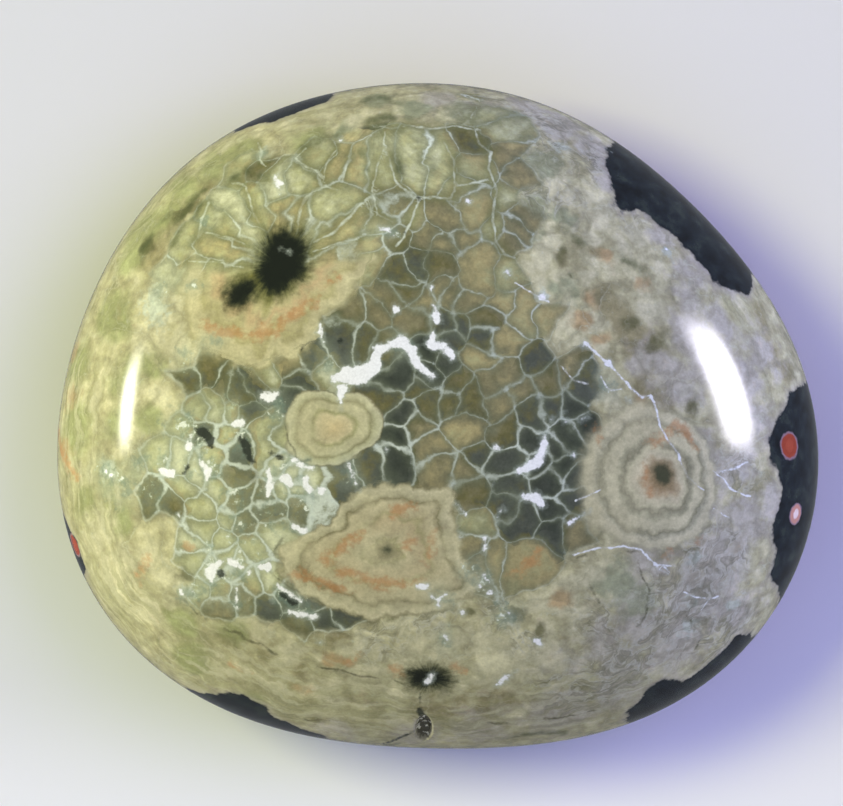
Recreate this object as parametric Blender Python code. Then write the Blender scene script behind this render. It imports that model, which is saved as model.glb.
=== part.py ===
"""Ocean jasper palm stone: one polished pebble, lying on its back with its best face up.

Lengths in this file are millimetres until MM turns them to Blender's metres. The origin is on the table,
under the middle of the stone. +X runs along the stone, +Y across it and +Z up.
"""

import math

import bmesh
import bpy
from mathutils import Matrix, Vector

MM = 0.001

# Outline seen from above: a circle of the mean radius, bent by waves that go once, twice, three times
# and so on round the stone. Each wave is (cosine part, sine part).
MEAN_RADIUS = 30.88
OUTLINE_WAVES = (
    (-0.39, -1.03),  # the heavy lower side
    (1.93, -0.62),  # longer than it is wide
    (0.20, -1.07),  # three-cornered, blunt at the upper left
    (-0.18, 0.00),
    (0.13, -0.04),
    (0.02, 0.07),
)

# Section: a domed crown over the girdle, which is the widest line, and a flatter belly under it.
CROWN_HEIGHT = 16.0
BELLY_DEPTH = 15.0
SECTION_POWER = 2.08  # 2 is an ellipse, and more is fuller at the shoulders

# The grinder leaves shallow hollows and swells: (height, waves along X, waves along Y, phase).
SWELLS = (
    (0.11, 0.11, 0.05, 0.6),
    (0.08, -0.06, 0.13, 2.1),
    (0.05, 0.17, 0.15, 4.0),
)

# The belly is ground flat where the stone rests.
FLAT_DEPTH = 0.45
GIRDLE_HEIGHT = BELLY_DEPTH - FLAT_DEPTH

# A chip out of the lower shoulder of the crown, which runs down towards the girdle.
CHIP_ANGLE = math.radians(-92.6)
CHIP_REACH = 0.925  # of the outline's radius, to the middle of the chip
CHIP_WIDTH = 1.5
CHIP_LENGTH = 4.2
CHIP_DEPTH = 0.8

BALL_SUBDIVISIONS = 5
CHIP_SUBDIVISIONS = 2
TABLE_CUTTER_SIZE = 120.0


def outline_radius(angle):
    """Distance from the middle to the girdle, in the direction of the angle."""
    radius = MEAN_RADIUS
    for turns, (cosine, sine) in enumerate(OUTLINE_WAVES, start=1):
        radius += cosine * math.cos(turns * angle) + sine * math.sin(turns * angle)
    return radius


def stone_point(direction):
    """The point of the stone's skin in a direction from its heart."""
    flat = math.hypot(direction.x, direction.y)
    fullness = (flat**SECTION_POWER + abs(direction.z) ** SECTION_POWER) ** (-1 / SECTION_POWER)
    reach = flat * fullness * outline_radius(math.atan2(direction.y, direction.x))
    height = direction.z * fullness * (CROWN_HEIGHT if direction.z > 0 else BELLY_DEPTH)
    x = reach * direction.x / max(flat, 1e-9)
    y = reach * direction.y / max(flat, 1e-9)
    for swell, along, across, phase in SWELLS:
        height += swell * direction.z * math.sin(along * x + across * y + phase)
    return Vector((x, y, GIRDLE_HEIGHT + height))


def clear_scene():
    for thing in list(bpy.data.objects):
        bpy.data.objects.remove(thing, do_unlink=True)


def new_collection(name):
    collection = bpy.data.collections.new(name)
    bpy.context.scene.collection.children.link(collection)
    return collection


def polished_jasper():
    """Mottled sage and beige jasper with a glassy polish, as one even colour."""
    material = bpy.data.materials.new("polished_jasper")
    material.use_nodes = True
    shader = material.node_tree.nodes["Principled BSDF"]
    shader.inputs["Base Color"].default_value = (0.39, 0.37, 0.24, 1.0)
    shader.inputs["Metallic"].default_value = 0.0
    shader.inputs["Roughness"].default_value = 0.12
    return material


def pebble(collection):
    """A ball of small triangles, shaped to the palm stone's form."""
    mesh = bpy.data.meshes.new("palm_stone")
    shape = bmesh.new()
    bmesh.ops.create_icosphere(shape, subdivisions=BALL_SUBDIVISIONS, radius=1.0)
    for vertex in shape.verts:
        vertex.co = stone_point(vertex.co.normalized()) * MM
    shape.to_mesh(mesh)
    shape.free()
    mesh.shade_smooth()
    stone = bpy.data.objects.new("palm_stone", mesh)
    collection.objects.link(stone)
    mesh.materials.append(polished_jasper())
    return stone


def table_cutter(collection):
    """A slab whose top is the table, to grind the resting flat."""
    mesh = bpy.data.meshes.new("table_cutter")
    shape = bmesh.new()
    bmesh.ops.create_cube(shape, size=TABLE_CUTTER_SIZE * MM)
    shape.to_mesh(mesh)
    shape.free()
    cutter = bpy.data.objects.new("table_cutter", mesh)
    cutter.location = (0.0, 0.0, -TABLE_CUTTER_SIZE / 2 * MM)
    collection.objects.link(cutter)
    return cutter


def chip_cutter(collection):
    """A narrow boat shape, sunk in the shoulder along the slope, to knock out the chip."""
    climb = math.acos(CHIP_REACH)
    outward = Vector((math.cos(CHIP_ANGLE), math.sin(CHIP_ANGLE), 0.0))
    middle = stone_point(outward * math.cos(climb) + Vector((0.0, 0.0, math.sin(climb))))
    higher = stone_point(outward * math.cos(climb + 0.05) + Vector((0.0, 0.0, math.sin(climb + 0.05))))
    along = (higher - middle).normalized()
    across = Vector((-outward.y, outward.x, 0.0))
    normal = along.cross(across).normalized()
    mesh = bpy.data.meshes.new("chip_cutter")
    shape = bmesh.new()
    bmesh.ops.create_icosphere(shape, subdivisions=CHIP_SUBDIVISIONS, radius=1.0)
    size = Vector((CHIP_LENGTH / 2, CHIP_WIDTH / 2, CHIP_DEPTH)) * MM
    bmesh.ops.scale(shape, vec=size, verts=shape.verts)
    shape.to_mesh(mesh)
    shape.free()
    cutter = bpy.data.objects.new("chip_cutter", mesh)
    turned = Matrix((along, across, normal)).transposed().to_4x4()
    cutter.matrix_world = Matrix.Translation(middle * MM) @ turned
    collection.objects.link(cutter)
    return cutter


def cut(stone, cutter):
    cutter.hide_render = True
    cutter.display_type = "WIRE"
    boolean = stone.modifiers.new(cutter.name, "BOOLEAN")
    boolean.operation = "DIFFERENCE"
    boolean.solver = "EXACT"
    boolean.object = cutter


clear_scene()
stone_parts = new_collection("ocean_jasper_palm_stone")
cutters = new_collection("cutters")
palm_stone = pebble(stone_parts)
cut(palm_stone, table_cutter(cutters))
cut(palm_stone, chip_cutter(cutters))
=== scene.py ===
"""The looks of the ocean jasper palm stone: its fine mesh, markings and polish, the floor and the light."""

import math

import bmesh
import bpy
import numpy as np
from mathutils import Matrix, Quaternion, Vector
from mathutils.noise import noise_vector, seed_set


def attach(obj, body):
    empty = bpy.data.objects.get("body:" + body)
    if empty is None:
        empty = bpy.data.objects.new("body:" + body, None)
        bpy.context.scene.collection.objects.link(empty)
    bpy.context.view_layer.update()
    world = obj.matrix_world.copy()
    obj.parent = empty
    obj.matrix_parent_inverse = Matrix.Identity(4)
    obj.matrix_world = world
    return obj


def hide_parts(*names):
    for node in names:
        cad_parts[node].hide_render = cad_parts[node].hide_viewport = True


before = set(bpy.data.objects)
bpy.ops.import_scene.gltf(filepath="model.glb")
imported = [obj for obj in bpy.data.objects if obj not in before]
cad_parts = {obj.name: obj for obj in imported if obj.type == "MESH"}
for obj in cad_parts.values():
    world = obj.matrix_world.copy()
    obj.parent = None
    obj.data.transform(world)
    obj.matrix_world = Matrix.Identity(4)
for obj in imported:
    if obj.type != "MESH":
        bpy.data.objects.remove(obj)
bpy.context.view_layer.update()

# The pebble
# One piece of orbicular jasper, sawn to a blank and ground by hand to a rounded, three-cornered egg.
# The crown is domed, the back is flatter, and the stone rests on a small flat that was ground last.
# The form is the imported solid's, so the fine mesh lies on its facets. Sizes are millimetres until MM.
MM = 0.001
MEAN_RADIUS = 30.88
OUTLINE_WAVES = ((-0.39, -1.03), (1.93, -0.62), (0.20, -1.07), (-0.18, 0.00), (0.13, -0.04), (0.02, 0.07))
CROWN_HEIGHT = 16.0
BELLY_DEPTH = 15.0
SECTION_POWER = 2.08
SWELLS = ((0.11, 0.11, 0.05, 0.6), (0.08, -0.06, 0.13, 2.1), (0.05, 0.17, 0.15, 4.0))
FLAT_DEPTH = 0.45
GIRDLE_HEIGHT = BELLY_DEPTH - FLAT_DEPTH
BALL_CUTS = 123
CROWDING = 0.4  # how far the mesh is drawn towards the crown, whose markings are the finest


def outline_radius(angle):
    """Distance from the middle to the girdle, in the direction of the angle."""
    radius = MEAN_RADIUS
    for turns, (cosine, sine) in enumerate(OUTLINE_WAVES, start=1):
        radius = radius + cosine * np.cos(turns * angle) + sine * np.sin(turns * angle)
    return radius


def stone_skin(direction):
    """The points of the skin in these directions from the stone's heart."""
    flat = np.hypot(direction[:, 0], direction[:, 1])
    rise = direction[:, 2]
    fullness = (flat**SECTION_POWER + np.abs(rise) ** SECTION_POWER) ** (-1 / SECTION_POWER)
    reach = flat * fullness * outline_radius(np.arctan2(direction[:, 1], direction[:, 0]))
    plan = direction[:, :2] * (reach / np.maximum(flat, 1e-9))[:, None]
    height = rise * fullness * np.where(rise > 0, CROWN_HEIGHT, BELLY_DEPTH)
    for swell, along, across, phase in SWELLS:
        height += swell * rise * np.sin(along * plan[:, 0] + across * plan[:, 1] + phase)
    return np.column_stack((plan, np.maximum(GIRDLE_HEIGHT + height, 0.0)))


def ball_directions(cube_points):
    """Turns the points of a cube of side 2 into even directions, crowded towards the crown."""
    even = np.tan(cube_points * math.pi / 4)
    even /= np.linalg.norm(even, axis=1)[:, None]
    polar = np.arccos(np.clip(even[:, 2], -1, 1))
    crowded = polar - CROWDING * np.sin(polar)
    side = np.hypot(even[:, 0], even[:, 1])
    spread = np.sin(crowded) / np.maximum(side, 1e-9)
    return np.column_stack((even[:, :2] * spread[:, None], np.cos(crowded)))


shape = bmesh.new()
bmesh.ops.create_cube(shape, size=2.0)
bmesh.ops.subdivide_edges(shape, edges=shape.edges[:], cuts=BALL_CUTS, use_grid_fill=True)

# The chip
# A flake knocked out of the lower shoulder, a boat-shaped hollow that runs down towards the girdle.
# The mesh is finer there, and the hollow's floor is rough, as jasper breaks.
CHIP_ANGLE = math.radians(-92.6)
CHIP_REACH = 0.925
CHIP_WIDTH = 1.5
CHIP_LENGTH = 4.2
CHIP_DEPTH = 0.8
CHIP_CUTS = 2
FINER_REACH = 0.75  # of the chip's length, from its middle: there the mesh is finer
chip_climb = math.acos(CHIP_REACH)
chip_out = np.array((math.cos(CHIP_ANGLE), math.sin(CHIP_ANGLE), 0.0))


def chip_axis_point(climb):
    """A point of the skin on the chip's meridian, at an angle above the girdle."""
    return stone_skin((chip_out * math.cos(climb) + (0.0, 0.0, math.sin(climb)))[None])[0]


chip_middle = chip_axis_point(chip_climb)
chip_along = chip_axis_point(chip_climb + 0.05) - chip_middle
chip_along /= np.linalg.norm(chip_along)
chip_across = np.array((-chip_out[1], chip_out[0], 0.0))
chip_normal = np.cross(chip_along, chip_across)
chip_normal /= np.linalg.norm(chip_normal)
if chip_normal @ chip_out < 0:
    chip_normal = -chip_normal

cube = np.array([vertex.co for vertex in shape.verts])
apart = np.linalg.norm(stone_skin(ball_directions(cube)) - chip_middle, axis=1)
shape.verts.ensure_lookup_table()
near_chip = set(np.flatnonzero(apart < CHIP_LENGTH * FINER_REACH))
chipped = [edge for edge in shape.edges if all(vertex.index in near_chip for vertex in edge.verts)]
bmesh.ops.subdivide_edges(shape, edges=chipped, cuts=CHIP_CUTS, use_grid_fill=True)
pebble_mesh = bpy.data.meshes.new("polished_pebble")
shape.to_mesh(pebble_mesh)
shape.free()

cube = np.empty(len(pebble_mesh.vertices) * 3, dtype=np.float32)
pebble_mesh.vertices.foreach_get("co", cube)
direction = ball_directions(cube.reshape(-1, 3).astype(float))
skin = stone_skin(direction)
from_chip = skin - chip_middle
boat_x = from_chip @ chip_along / (CHIP_LENGTH / 2)
boat_y = from_chip @ chip_across / (CHIP_WIDTH / 2)
boat_z = from_chip @ chip_normal
inside = 1 - boat_x**2 - boat_y**2
rough = 0.12 * np.sin(9 * boat_x + 3 * boat_y) * np.sin(5 * boat_y - 4 * boat_x)
floor_depth = -CHIP_DEPTH * np.sqrt(np.clip(inside, 0, 1)) * (1 + rough)
sunk = (inside > 0) & (np.abs(boat_z) < CHIP_DEPTH)
skin[sunk] += ((floor_depth - boat_z)[:, None] * chip_normal)[sunk]
chip_reach = np.where(np.abs(boat_z) < 2 * CHIP_DEPTH, np.maximum(-inside, -1.0), 1.0).clip(-1.0, 1.0)
pebble_mesh.vertices.foreach_set("co", (skin * MM).astype(np.float32).ravel())
pebble_mesh.update()
pebble_mesh.shade_smooth()
pebble = bpy.data.objects.new("polished_pebble", pebble_mesh)
bpy.context.scene.collection.objects.link(pebble)
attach(pebble, "root")
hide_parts("palm_stone")

# The places of the markings
# Every marking of the crown was put where the photograph shows it, so its place is written as the
# photograph's pixel. The camera stood over the crown, and one function takes a pixel down to the skin.
PHOTO_AXIS = (437.7, 416.0)  # the pixel of the stone's own axis
PHOTO_MIDDLE = (421.5, 403.0)
PIXEL = 0.0865  # millimetres at the girdle's height
CAMERA_RISE = 480.0  # above the girdle
polar = np.arccos(np.clip(direction[:, 2], -1, 1))
turn = np.arctan2(skin[:, 1], skin[:, 0])
unrolled = (polar * outline_radius(turn))[:, None] * np.column_stack((np.cos(turn), np.sin(turn)))
# nothing in a stone is straight or round, so most markings are measured from points that stray a little,
# by a noise whose seed is set, so that every run gives the same stone
STRAY_SEED = 5
WIDE_STRAY = 0.8
WIDE_WAVE = 3.2
FINE_STRAY = 0.3
FINE_WAVE = 1.1
seed_set(STRAY_SEED)


def stray_at(point):
    """Which way and how far the markings stray at a point, by a wide wave of the noise and a fine one."""
    return WIDE_STRAY * noise_vector(point / WIDE_WAVE) + FINE_STRAY * noise_vector(point / FINE_WAVE)


stray = np.array([stray_at(Vector(point)) for point in skin])
strayed = skin + stray
strayed_flat = unrolled + stray[:, :2]


def on_crown(pixels):
    """The skin's points and its unrolled places under these pixels, in millimetres."""
    pixels = np.atleast_2d(np.asarray(pixels, dtype=float))[:, :2]
    eye = (np.array(PHOTO_MIDDLE) - PHOTO_AXIS) * (PIXEL, -PIXEL)
    girdle = (pixels - PHOTO_AXIS) * (PIXEL, -PIXEL)
    rise = np.zeros(len(pixels))
    for _ in range(5):
        plan = eye + (girdle - eye) * (1 - rise / CAMERA_RISE)[:, None]
        angle = np.arctan2(plan[:, 1], plan[:, 0])
        share = np.hypot(plan[:, 0], plan[:, 1]) / outline_radius(angle)
        lift = (1 - np.minimum(share, 1.0) ** SECTION_POWER) ** (1 / SECTION_POWER)
        rise = CROWN_HEIGHT * lift
    down = np.where(share < 1, np.arctan2(share, lift), math.pi / 2 + 3.0 * (share - 1))
    flat = (down * outline_radius(angle))[:, None] * np.column_stack((np.cos(angle), np.sin(angle)))
    return np.column_stack((plan, GIRDLE_HEIGHT + rise)), flat


def stroke_distance(strokes, origin=skin):
    """Distance to the nearest of some strokes, whose points are (pixel, pixel, half width in pixels)."""
    nearest = np.full(len(origin), 9.0)
    for stroke in strokes:
        points, _ = on_crown(stroke)
        widths = np.array(stroke, dtype=float)[:, 2] * PIXEL
        if len(points) == 1:
            nearest = np.minimum(nearest, np.linalg.norm(origin - points[0], axis=1) - widths[0])
        for start, end, thin, thick in zip(points, points[1:], widths, widths[1:]):
            run = end - start
            share = np.clip((origin - start) @ run / (run @ run), 0, 1)
            apart = np.linalg.norm(origin - start - share[:, None] * run, axis=1)
            nearest = np.minimum(nearest, apart - thin - share * (thick - thin))
    return nearest


def spot_weight(spots):
    """How deep the skin lies in some soft round spots, (pixel, pixel, radius in pixels): 1 at a middle."""
    weight = np.zeros(len(strayed))
    for across, down, spread in spots:
        point, _ = on_crown((across, down))
        apart = np.linalg.norm(strayed - point[0], axis=1) / (spread * PIXEL)
        weight = np.maximum(weight, 2.0 ** -(apart**2))
    return weight


def outline_distance(outline):
    """Unrolled distance from the skin to a closed outline of pixels, below zero inside it."""
    _, corners = on_crown(outline)
    nearest = np.full(len(strayed_flat), np.inf)
    within = np.zeros(len(strayed_flat), dtype=bool)
    for start, end in zip(corners, np.roll(corners, -1, axis=0)):
        run = end - start
        share = np.clip((strayed_flat - start) @ run / (run @ run), 0, 1)
        nearest = np.minimum(nearest, np.linalg.norm(strayed_flat - start - share[:, None] * run, axis=1))
        beside = (start[1] > strayed_flat[:, 1]) != (end[1] > strayed_flat[:, 1])
        slope = run[0] / (run[1] if abs(run[1]) > 1e-9 else 1e-9)
        within ^= beside & (strayed_flat[:, 0] < start[0] + slope * (strayed_flat[:, 1] - start[1]))
    return np.where(within, -nearest, nearest)


def keep_on_mesh(name, kind, *channels):
    """Stores one or more values for each vertex, for the material to read."""
    layer = pebble_mesh.attributes.new(name, kind, "POINT")
    field = {"FLOAT": "value", "FLOAT_VECTOR": "vector", "FLOAT_COLOR": "color"}[kind]
    layer.data.foreach_set(field, np.column_stack(channels).astype(np.float32).ravel())


# The jasper
# Jasper is quartz too fine-grained to see, clouded with iron and clay, and takes a glassy polish.
# The eye gets soft clouds of cream, sand, olive and smoke, under a clear, hard shine.
jasper = bpy.data.materials.new("polished_orbicular_jasper")
jasper.use_nodes = True
tree = jasper.node_tree
pebble_mesh.materials.append(jasper)
polish = tree.nodes["Principled BSDF"]


def paint(code):
    """A colour's linear values, from its sRGB hex."""
    parts = [int(code[i : i + 2], 16) / 255 for i in (1, 3, 5)]
    return (*[part / 12.92 if part < 0.04045 else ((part + 0.055) / 1.055) ** 2.4 for part in parts], 1.0)


def add_node(kind, sockets=None, stops=None, **settings):
    """Adds a node with its settings, its values and its links, and gives back its outputs."""
    made = tree.nodes.new("ShaderNode" + kind)
    for name, value in settings.items():
        setattr(made, name, value)
    for socket, value in (sockets or {}).items():
        if isinstance(value, bpy.types.NodeSocket):
            tree.links.new(value, made.inputs[socket])
        else:
            made.inputs[socket].default_value = value
    if stops:
        while len(made.color_ramp.elements) < len(stops):
            made.color_ramp.elements.new(1.0)
        for element, (position, colour) in zip(made.color_ramp.elements, stops):
            element.position = position
            element.color = colour
    return made.outputs


def lay_over(under, over, distance, softness, fray=0.0, noise=None, strength=1.0):
    """Lays a colour over another where a distance is below zero, with an edge frayed by a noise."""
    middle = 0.0
    if fray:
        distance = add_node("Math", {0: noise, 1: fray, 2: distance}, operation="MULTIPLY_ADD")[0]
        middle = fray / 2
    edge = {"Value": distance, "From Min": middle + softness, "From Max": middle - softness}
    cover = add_node("MapRange", {**edge, "To Max": strength}, interpolation_type="SMOOTHSTEP")[0]
    return add_node("Mix", {0: cover, 6: under, 7: over}, data_type="RGBA")[2]


def add_shares(base, *shares):
    """Adds some noises or measures to a value, each times its share."""
    for part, share in shares:
        base = add_node("Math", {0: part, 1: share, 2: base}, operation="MULTIPLY_ADD")[0]
    return base


def lay_on_mesh(name, values):
    """Stores a value for each vertex and gives it to the material."""
    keep_on_mesh(name, "FLOAT", values)
    return add_node("Attribute", attribute_name=name)["Fac"]


# Four noises serve every marking: clouds as wide as a fingernail, mottles, crumbs and, out from each
# heart that the quartz grew from, fibres.
BILLOW = 5.0
MOTTLE = 1.5
CRUMB = 0.55
metres = add_node("TexCoord")["Object"]
place = add_node("VectorMath", {0: metres, 1: (1 / MM, 1 / MM, 1 / MM)}, operation="MULTIPLY")[0]
noises = []
for width, detail, roughness in ((BILLOW, 4.0, 0.55), (MOTTLE, 3.0, 0.55), (CRUMB, 2.0, 0.6)):
    texture = {"Vector": place, "Scale": 1 / width, "Detail": detail, "Roughness": roughness}
    noises.append(add_node("TexNoise", texture)["Color"])
billows, mottles, crumbs = noises
billow, mottle, crumb = [add_node("SeparateColor", {0: noise}) for noise in noises]
MASK_MARGIN = 0.14  # how far past its own reach a fine line may still show


def fine_lines(name, strokes, origin=skin):
    """Keeps lines thinner than the mesh as the way to the nearest, and gives the distance to its edge."""
    way = np.full((len(origin), 2), 9.0)
    apart = np.full(len(origin), 9.0)
    half = np.zeros(len(origin))
    for stroke in strokes:
        points, _ = on_crown(stroke)
        widths = np.array(stroke, dtype=float)[:, 2] * PIXEL
        for start, end, thin, thick in zip(points, points[1:], widths, widths[1:]):
            run = end - start
            share = np.clip((origin - start) @ run / (run @ run), 0, 1)
            offset = origin - start - share[:, None] * run
            nearer = np.linalg.norm(offset, axis=1) < apart
            way[nearer] = offset[nearer, :2]
            half[nearer] = (thin + share * (thick - thin))[nearer]
            apart[nearer] = np.linalg.norm(offset[nearer], axis=1)
    keep_on_mesh(name, "FLOAT_COLOR", way, apart - MASK_MARGIN, half)
    kept = add_node("Attribute", attribute_name=name)
    aside = add_node("VectorMath", {0: kept["Vector"], 1: (1.0, 1.0, 0.0)}, operation="MULTIPLY")[0]
    aside = add_node("VectorMath", {0: mottles, 1: (0.5, 0.5, 0.0), 2: aside}, operation="MULTIPLY_ADD")[0]
    aside = add_node("VectorMath", {0: aside, 1: (0.25, 0.25, 0.0)}, operation="SUBTRACT")[0]
    aside = add_node("VectorMath", {0: aside}, operation="LENGTH")["Value"]
    mask = add_node("SeparateColor", {0: kept["Color"]})[2]
    masked = add_node("Math", {0: aside, 1: mask}, operation="MAXIMUM")[0]
    return add_node("Math", {0: masked, 1: kept["Alpha"]}, operation="SUBTRACT")[0]


HEARTS = (
    (277, 264), (376, 118), (663, 478), (385, 549), (334, 428), (430, 678), (562, 288), (562, 338),
    (622, 590), (590, 205), (650, 312), (700, 610), (252, 520), (190, 455), (110, 420), (480, 200),
    (505, 375), (540, 480), (440, 320), (170, 190), (700, 380), (560, 600), (250, 680), (500, 700),
)
hearts, _ = on_crown(HEARTS)
from_heart = skin[:, None] - hearts
heart_reach = np.linalg.norm(from_heart, axis=2)
nearest_heart = heart_reach.argmin(axis=1)
each = np.arange(len(skin))
spoke = from_heart[each, nearest_heart] / np.maximum(heart_reach[each, nearest_heart], 0.2)[:, None]
spoke += 7.0 * nearest_heart[:, None] + 0.05 * from_heart[each, nearest_heart] + 0.07 * stray
keep_on_mesh("spokes", "FLOAT_VECTOR", spoke)
spokes = add_node("Attribute", attribute_name="spokes")["Vector"]
fibres = add_node("TexNoise", {"Vector": spokes, "Scale": 7.0, "Detail": 3.0, "Roughness": 0.6})["Fac"]
scallops = add_node("TexVoronoi", {"Vector": spokes, "Scale": 3.0})["Distance"]

# Clouds
# Iron and clay tint the quartz in clouds, and where a cloud lies is written as soft round spots.
# The eye gets cream, straw, sage, smoke, umber and moss that run into each other with ragged edges.
CLOUDS = {
    "umber": ("#857D5B", (
        (150, 250, 18), (165, 232, 14), (445, 705, 26), (500, 708, 26), (475, 640, 14), (772, 345, 18),
        (786, 372, 14), (762, 318, 14), (778, 600, 12), (620, 320, 18), (640, 338, 16), (610, 300, 12),
        (645, 382, 14), (660, 402, 12), (190, 370, 14), (340, 640, 10), (160, 245, 13), (170, 215, 12),
        (205, 185, 12), (236, 172, 12), (150, 265, 10), (190, 205, 9), (225, 640, 10), (262, 655, 10),
        (300, 668, 8), (345, 677, 8), (540, 300, 8), (565, 262, 9), (595, 248, 9), (560, 640, 9),
        (320, 720, 10), (240, 392, 14), (215, 190, 9),
    )),
    "smoke": ("#AEA89B", (
        (700, 600, 50), (720, 560, 34), (680, 640, 34), (745, 520, 30), (700, 505, 22), (715, 470, 20),
        (690, 300, 22), (705, 350, 30), (680, 380, 30), (680, 330, 20), (650, 360, 18), (560, 125, 26),
        (592, 145, 22), (530, 110, 26), (602, 165, 16), (662, 235, 16), (692, 272, 18), (650, 560, 20),
        (640, 622, 24), (620, 662, 26), (600, 642, 20), (742, 460, 18), (560, 662, 24), (480, 108, 18),
        (740, 612, 24), (722, 320, 18), (745, 380, 22), (560, 715, 34), (480, 730, 30), (410, 735, 26),
        (340, 730, 18), (620, 690, 26), (440, 100, 18), (760, 420, 20), (730, 280, 20), (760, 350, 26),
        (700, 440, 14), (640, 600, 20), (600, 180, 12), (770, 500, 16),
    )),
    "straw": ("#8F9566", (
        (120, 385, 22), (150, 365, 18), (115, 420, 16), (150, 420, 16), (215, 165, 24), (240, 150, 20),
        (185, 190, 24), (200, 215, 16), (168, 215, 24), (275, 210, 12), (250, 235, 12), (300, 190, 12),
        (225, 252, 14), (365, 160, 12), (395, 195, 12), (330, 190, 10), (110, 320, 24), (80, 360, 24),
        (75, 430, 24), (85, 502, 16), (196, 506, 18), (215, 545, 16), (245, 547, 12), (225, 600, 14),
        (180, 620, 16), (232, 632, 16), (190, 460, 10), (130, 252, 26), (150, 222, 22), (340, 165, 10),
        (300, 140, 18), (250, 700, 14), (90, 290, 26), (150, 500, 14), (190, 660, 20), (120, 520, 20),
    )),
    "sage": ("#92977A", (
        (262, 178, 14), (215, 222, 10), (238, 193, 10), (320, 152, 10), (345, 130, 12), (395, 232, 12),
        (352, 222, 10), (215, 412, 14), (200, 415, 14), (222, 435, 14), (180, 422, 14), (175, 450, 14),
        (565, 290, 16), (640, 600, 16), (618, 582, 18), (545, 165, 18), (520, 182, 16), (510, 150, 16),
        (490, 120, 16), (540, 205, 16), (190, 550, 12), (580, 500, 10), (225, 480, 14), (330, 235, 8),
        (186, 240, 12), (110, 480, 14), (160, 500, 10), (460, 112, 18), (410, 108, 16), (380, 100, 14),
        (130, 470, 14), (560, 215, 12), (530, 235, 10), (600, 580, 12), (420, 108, 14),
    )),
    "cream": ("#C6C1A0", (
        (560, 322, 22), (540, 250, 16), (200, 155, 8), (225, 145, 7), (255, 132, 8), (290, 122, 8),
        (325, 113, 12), (352, 118, 10), (425, 168, 14), (165, 300, 28), (150, 332, 22), (185, 275, 20),
        (202, 300, 20), (182, 340, 16), (205, 352, 14), (155, 398, 12), (240, 356, 22), (240, 372, 10),
        (290, 350, 14), (302, 335, 12), (335, 300, 16), (352, 280, 16), (330, 262, 12), (525, 266, 14),
        (535, 285, 12), (560, 343, 22), (545, 302, 12), (577, 195, 14), (560, 186, 10), (602, 217, 12),
        (640, 236, 12), (650, 312, 12), (622, 245, 10), (590, 280, 10), (600, 480, 14), (590, 512, 14),
        (605, 452, 12), (565, 595, 20), (590, 578, 14), (580, 615, 14), (260, 632, 14), (290, 655, 14),
        (350, 612, 12), (380, 652, 12), (420, 642, 8), (230, 665, 12), (332, 702, 12), (480, 652, 12),
        (540, 605, 12), (225, 240, 8), (332, 207, 8), (590, 235, 9), (660, 270, 8), (520, 715, 9),
        (150, 560, 14), (170, 600, 10), (110, 600, 14), (540, 262, 10), (600, 350, 10), (555, 320, 10),
        (505, 665, 8), (540, 680, 8), (360, 690, 8), (100, 530, 24), (120, 575, 26), (145, 610, 22),
        (165, 575, 14), (400, 620, 22), (440, 655, 18), (480, 640, 20), (520, 650, 22), (360, 650, 20),
        (395, 690, 18), (500, 680, 18), (330, 690, 14), (450, 690, 14), (340, 620, 12), (545, 640, 18),
        (555, 335, 22), (590, 320, 12), (610, 400, 10), (430, 630, 16), (90, 545, 16), (85, 480, 12),
        (420, 670, 30), (370, 672, 26), (500, 668, 30), (550, 664, 22),
    )),
    "clay": ("#B0966E", (
        (590, 300, 8), (580, 320, 8), (600, 340, 8), (70, 400, 12), (66, 450, 12), (75, 350, 10),
        (475, 195, 12), (470, 220, 12), (515, 310, 10), (520, 560, 12), (640, 400, 8), (640, 280, 8),
        (230, 560, 6), (320, 560, 8), (610, 430, 7), (560, 600, 10), (330, 660, 8), (300, 690, 8),
        (600, 255, 7), (190, 540, 6),
    )),
    "chalk": ("#B9C0B0", (
        (155, 305, 16), (213, 400, 8), (268, 380, 8), (190, 245, 9), (270, 398, 8), (215, 465, 10),
        (180, 455, 12), (195, 470, 14), (160, 475, 12), (110, 472, 10), (290, 478, 18), (312, 490, 10),
        (268, 482, 10), (300, 530, 9), (228, 515, 6), (192, 548, 8), (240, 575, 10), (215, 572, 12),
        (262, 568, 9), (190, 592, 9), (322, 365, 8), (262, 150, 7), (268, 185, 8), (210, 230, 8),
        (203, 243, 8), (396, 310, 6), (541, 297, 6), (486, 543, 6), (611, 152, 6), (668, 257, 6),
        (688, 600, 9), (690, 628, 8), (735, 605, 8), (350, 470, 8), (185, 425, 9), (560, 145, 8),
        (700, 560, 8),
    )),
    "loam": ("#5C5B3A", (
        (243, 172, 5), (184, 240, 6), (312, 165, 6), (345, 148, 6), (238, 392, 12), (205, 382, 12),
        (186, 377, 9), (168, 507, 10), (182, 570, 9), (217, 603, 10), (325, 620, 10), (300, 622, 10),
        (240, 412, 8), (150, 498, 9), (656, 345, 9), (630, 322, 8), (520, 612, 10), (470, 612, 8),
        (390, 612, 10), (560, 258, 7), (690, 410, 8), (600, 540, 8), (540, 632, 7), (180, 215, 8),
        (150, 245, 8), (270, 158, 7),
    )),
}
weights = [spot_weight(spots) for _, spots in CLOUDS.values()]
keep_on_mesh("clouds_a", "FLOAT_COLOR", *weights[:4])
keep_on_mesh("clouds_b", "FLOAT_COLOR", *weights[4:])
SAND_STOPS = ((0.34, "#9D9775"), (0.48, "#AFAA86"), (0.62, "#BBB693"), (0.72, "#C6C1A1"))
colour = add_node("ValToRGB", {0: mottle[0]}, stops=[(at, paint(code)) for at, code in SAND_STOPS])[0]
cloud_weights = []
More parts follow.
